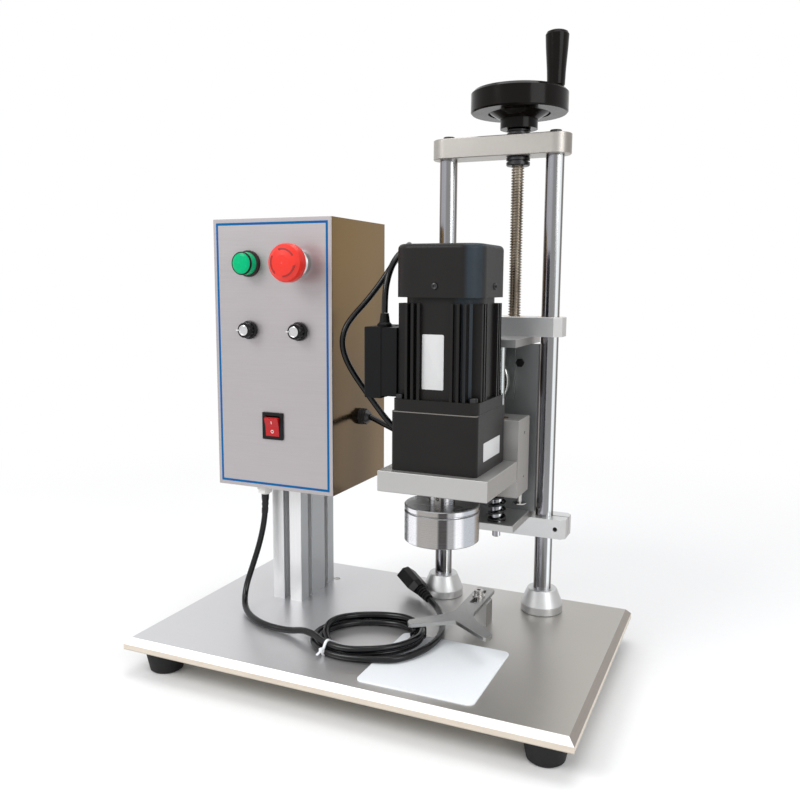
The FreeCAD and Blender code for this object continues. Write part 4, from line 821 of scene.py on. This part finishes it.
# three curved arrows that show the way to turn the stop button free
arrow = {"radius": 0.0144, "width": 0.0018, "low": 0.0334, "high": 0.0350, "sweep": 72, "tip": 0.0022}
made = bmesh.new()
for start in (30, 150, 270):
    inside = arrow["radius"] - arrow["width"] / 2
    outside = arrow["radius"] + arrow["width"] / 2
    crown = arrow["high"] - 0.0002
    corners = [made.verts.new((r, 0, z)) for r, z in ((inside, arrow["low"]), (outside, arrow["low"]),
                                                      (outside, crown), (inside, arrow["high"]))]
    ring = [made.edges.new((corners[k], corners[(k + 1) % 4])) for k in range(4)]
    bmesh.ops.rotate(made, verts=corners, cent=(0, 0, 0), matrix=Matrix.Rotation(radians(start), 3, "Z"))
    first = made.faces.new(corners)
    bmesh.ops.spin(made, geom=corners + ring + [first], cent=(0, 0, 0), axis=(0, 0, 1),
                   angle=radians(arrow["sweep"]), steps=12)
    middle = (arrow["low"] + arrow["high"]) / 2 - 0.0001
    tipPlace = turned(start + arrow["sweep"] + 2, "Z") @ Matrix.Translation((arrow["radius"], 0, middle))
    bmesh.ops.create_cone(made, cap_ends=True, segments=3, radius1=arrow["tip"],
                          radius2=arrow["tip"] - 0.0001, depth=arrow["high"] - arrow["low"] - 0.0001,
                          matrix=tipPlace @ turned(90, "Z"))
move(made, onPanel(panel["stop"]))
pieceFrom(made, "stopArrows", "darkRed", "estop", 30)

# silver caps and white pointers (width, height, thickness, corner, bevel) of the two knobs
pointer = {"size": (0.0036, 0.0009, 0.0016, 0.0002, 0.0001), "place": (-0.0079, 0, 0.0128)}
for body in ("left_knob", "right_knob"):
    made = spunShape([(0, 0.0137), (0.0056, 0.0137), (0.0058, 0.0139), (0.0058, 0.0146), (0.0053, 0.0149),
                      (0.0046, 0.0147), (0.0044, 0.0144), (0, 0.0143)], 40)
    move(made, onPanel(panel[body]))
    pieceFrom(made, body + "Cap", "silver", body)
    made = plate(*pointer["size"])
    move(made, onPanel(panel[body]) @ Matrix.Translation(pointer["place"]))
    pieceFrom(made, body + "Pointer", "print", body)

# line and ring on the two halves of the rocker, which lean that many degrees away from its middle
marks = {"inside": 0.002, "rocked": 10, "lean": 6.46, "line": (0, -0.00565, 0.0055),
         "lineSize": (0.0007, 0.0003, 0.0036), "ring": (0, -0.00556, -0.0052), "ringRadii": (0.0013, 0.0019),
         "ringThick": 0.0002}
inner, outer = marks["ringRadii"]
thick = marks["ringThick"]
hinge = Matrix.Translation(onDeck(panel["switch"][0], panel["front"] + marks["inside"], panel["switch"][1]))
rocked = hinge @ turned(marks["rocked"], "X")
made = bmesh.new()
block(made, rocked @ Matrix.Translation(marks["line"]) @ turned(marks["lean"], "X"), marks["lineSize"])
ring = spunShape([(inner, 0), (outer, 0), (outer, thick), (inner, thick), (inner, 0)], 28)
move(ring, rocked @ Matrix.Translation(marks["ring"]) @ turned(90 - marks["lean"], "X"))
join(made, ring)
pieceFrom(made, "switchMarks", "print", "rocker")
print("panel done")

# buffer springs, with closed ends, squeezed between the carriage and the head
spring = {"xs": (0.282, 0.345), "y": 0.188, "low": 0.1236, "high": 0.1504, "mean": 0.0087, "wire": 0.0015,
          "turns": 3.25, "closed": 0.75, "closedShare": 0.12, "steps": 30}
total = spring["turns"] + 2 * spring["closed"]
count = int(total * spring["steps"])
made = bmesh.new()
for x in spring["xs"]:
    path = []
    for k in range(count + 1):
        turn = total * k / count
        opened = part(turn, spring["closed"], spring["closed"] + spring["turns"])
        rise = smooth(turn, 0.0, total) * spring["closedShare"] + (1 - spring["closedShare"]) * opened
        height = spring["low"] + (spring["high"] - spring["low"]) * rise
        around = Vector((cos(2 * pi * turn), sin(2 * pi * turn), 0)) * spring["mean"]
        path.append(onDeck(x, spring["y"], height) + around)
    join(made, tube("spring", path, spring["wire"]))
springs = pieceFrom(made, "bufferSprings", "blackOxide", None, 50)
tuple(onDeck(0, 0, spring["low"]))
tuple(onDeck(0, 0, spring["high"]))
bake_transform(springs)
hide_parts("buffer_springs")
print("springs done")

# motor: blank plates (width, height, thickness, corner, bevel) and the screws of the fan cover
motor = {"label": (0.3084, 0.0872, 0.3012), "labelSize": (0.0225, 0.0535, 0.0005, 0.0012, 0.0001),
         "sticker": (0.3564, 0.128, 0.2135), "stickerSize": (0.053, 0.0185, 0.0003, 0.001, 0.00008),
         "screws": (0.3115, 0.127, 0.374), "cover": 0.045}
made = plate(*motor["labelSize"])
move(made, facingFront(onDeck(*motor["label"])))
pieceFrom(made, "motorLabel", "label", "head")
made = plate(*motor["stickerSize"])
move(made, Matrix.Translation(onDeck(*motor["sticker"])) @ turned(90, "Z") @ turned(90, "X"))
pieceFrom(made, "gearboxSticker", "label", "head")

made = bmesh.new()
for turn in (0, 90, 180, 270):
    head = spunShape([(0.0, 0.0006), (0.0014, 0.0006), (0.0014, 0.0013), (0.0021, 0.0015), (0.0030, 0.0011),
                      (0.0033, 0.0004), (0.0033, -0.0005), (0, -0.0005)], 28)
    move(head, Matrix.Translation(onDeck(*motor["screws"])) @ turned(turn, "Z") @ turned(90, "X")
         @ Matrix.Translation((0, 0, motor["cover"])))
    join(made, head)
pieceFrom(made, "coverScrews", "blackOxide", "head")
print("motor done")

# floor, surroundings and lamps
stage = {"floor": 4.0, "near": 0.5, "far": 1.3, "air": 0.62}
made = bmesh.new()
bmesh.ops.create_circle(made, cap_ends=True, segments=64, radius=stage["floor"])
floorMesh = bpy.data.meshes.new("floor")
made.to_mesh(floorMesh)
made.free()
floor = bpy.data.objects.new("floor", floorMesh)
bpy.context.scene.collection.objects.link(floor)
pale = Finish("paleFloor", {"Roughness": 0.6})
x, y = pale.axes()[:2]
distance = pale.node("ShaderNodeMath", {"operation": "SQRT"}, {0: x * x + y * y})
paper = pale.noise(120, 3.0)
pale.set("Base Color", pale.blend(paper, (0.90, 0.90, 0.90), (0.93, 0.93, 0.93)))
away = pale.between(distance, stage["near"], stage["far"])
glow = pale.node("ShaderNodeEmission", None, {"Color": (1, 1, 1, 1), "Strength": 1.0})
plain = Field(pale, pale.shader.outputs[0])
mixed = pale.node("ShaderNodeMixShader", None, {0: away * pale.seenStraight(), 1: plain, 2: glow})
pale.tree.links.new(mixed.socket, pale.end.inputs["Surface"])
floorMesh.materials.append(pale.material)

world = bpy.data.worlds.new("studio")
bpy.context.scene.world = world
sky = Graph(world)
air = sky.node("ShaderNodeBackground", None, {"Color": (0.97, 0.98, 1.0, 1), "Strength": stage["air"]})
white = sky.node("ShaderNodeBackground", None, {"Color": (1, 1, 1, 1), "Strength": 1.0})
mixed = sky.node("ShaderNodeMixShader", None, {0: sky.seenStraight(), 1: air, 2: white})
sky.node("ShaderNodeOutputWorld", None, {"Surface": mixed})

lamps = {
    "keyLamp": {"place": (-1.1, -1.5, 1.7), "aim": (0, 0, 0.25), "size": 1.2, "power": 26},
    "fillLamp": {"place": (1.7, -0.9, 1.1), "aim": (0, 0, 0.25), "size": 1.2, "power": 12},
    "topLamp": {"place": (0.1, 0.3, 2.2), "aim": (0, 0, 0.2), "size": 1.6, "power": 16},
}
for name, lamp in lamps.items():
    data = bpy.data.lights.new(name, "AREA")
    data.shape = "DISK"
    data.size = lamp["size"]
    data.energy = lamp["power"]
    light = bpy.data.objects.new(name, data)
    bpy.context.scene.collection.objects.link(light)
    light.location = lamp["place"]
    light.rotation_euler = (Vector(lamp["aim"]) - light.location).to_track_quat("-Z", "Y").to_euler()
print("stage done")

bpy.context.scene.view_settings.view_transform = "Standard"
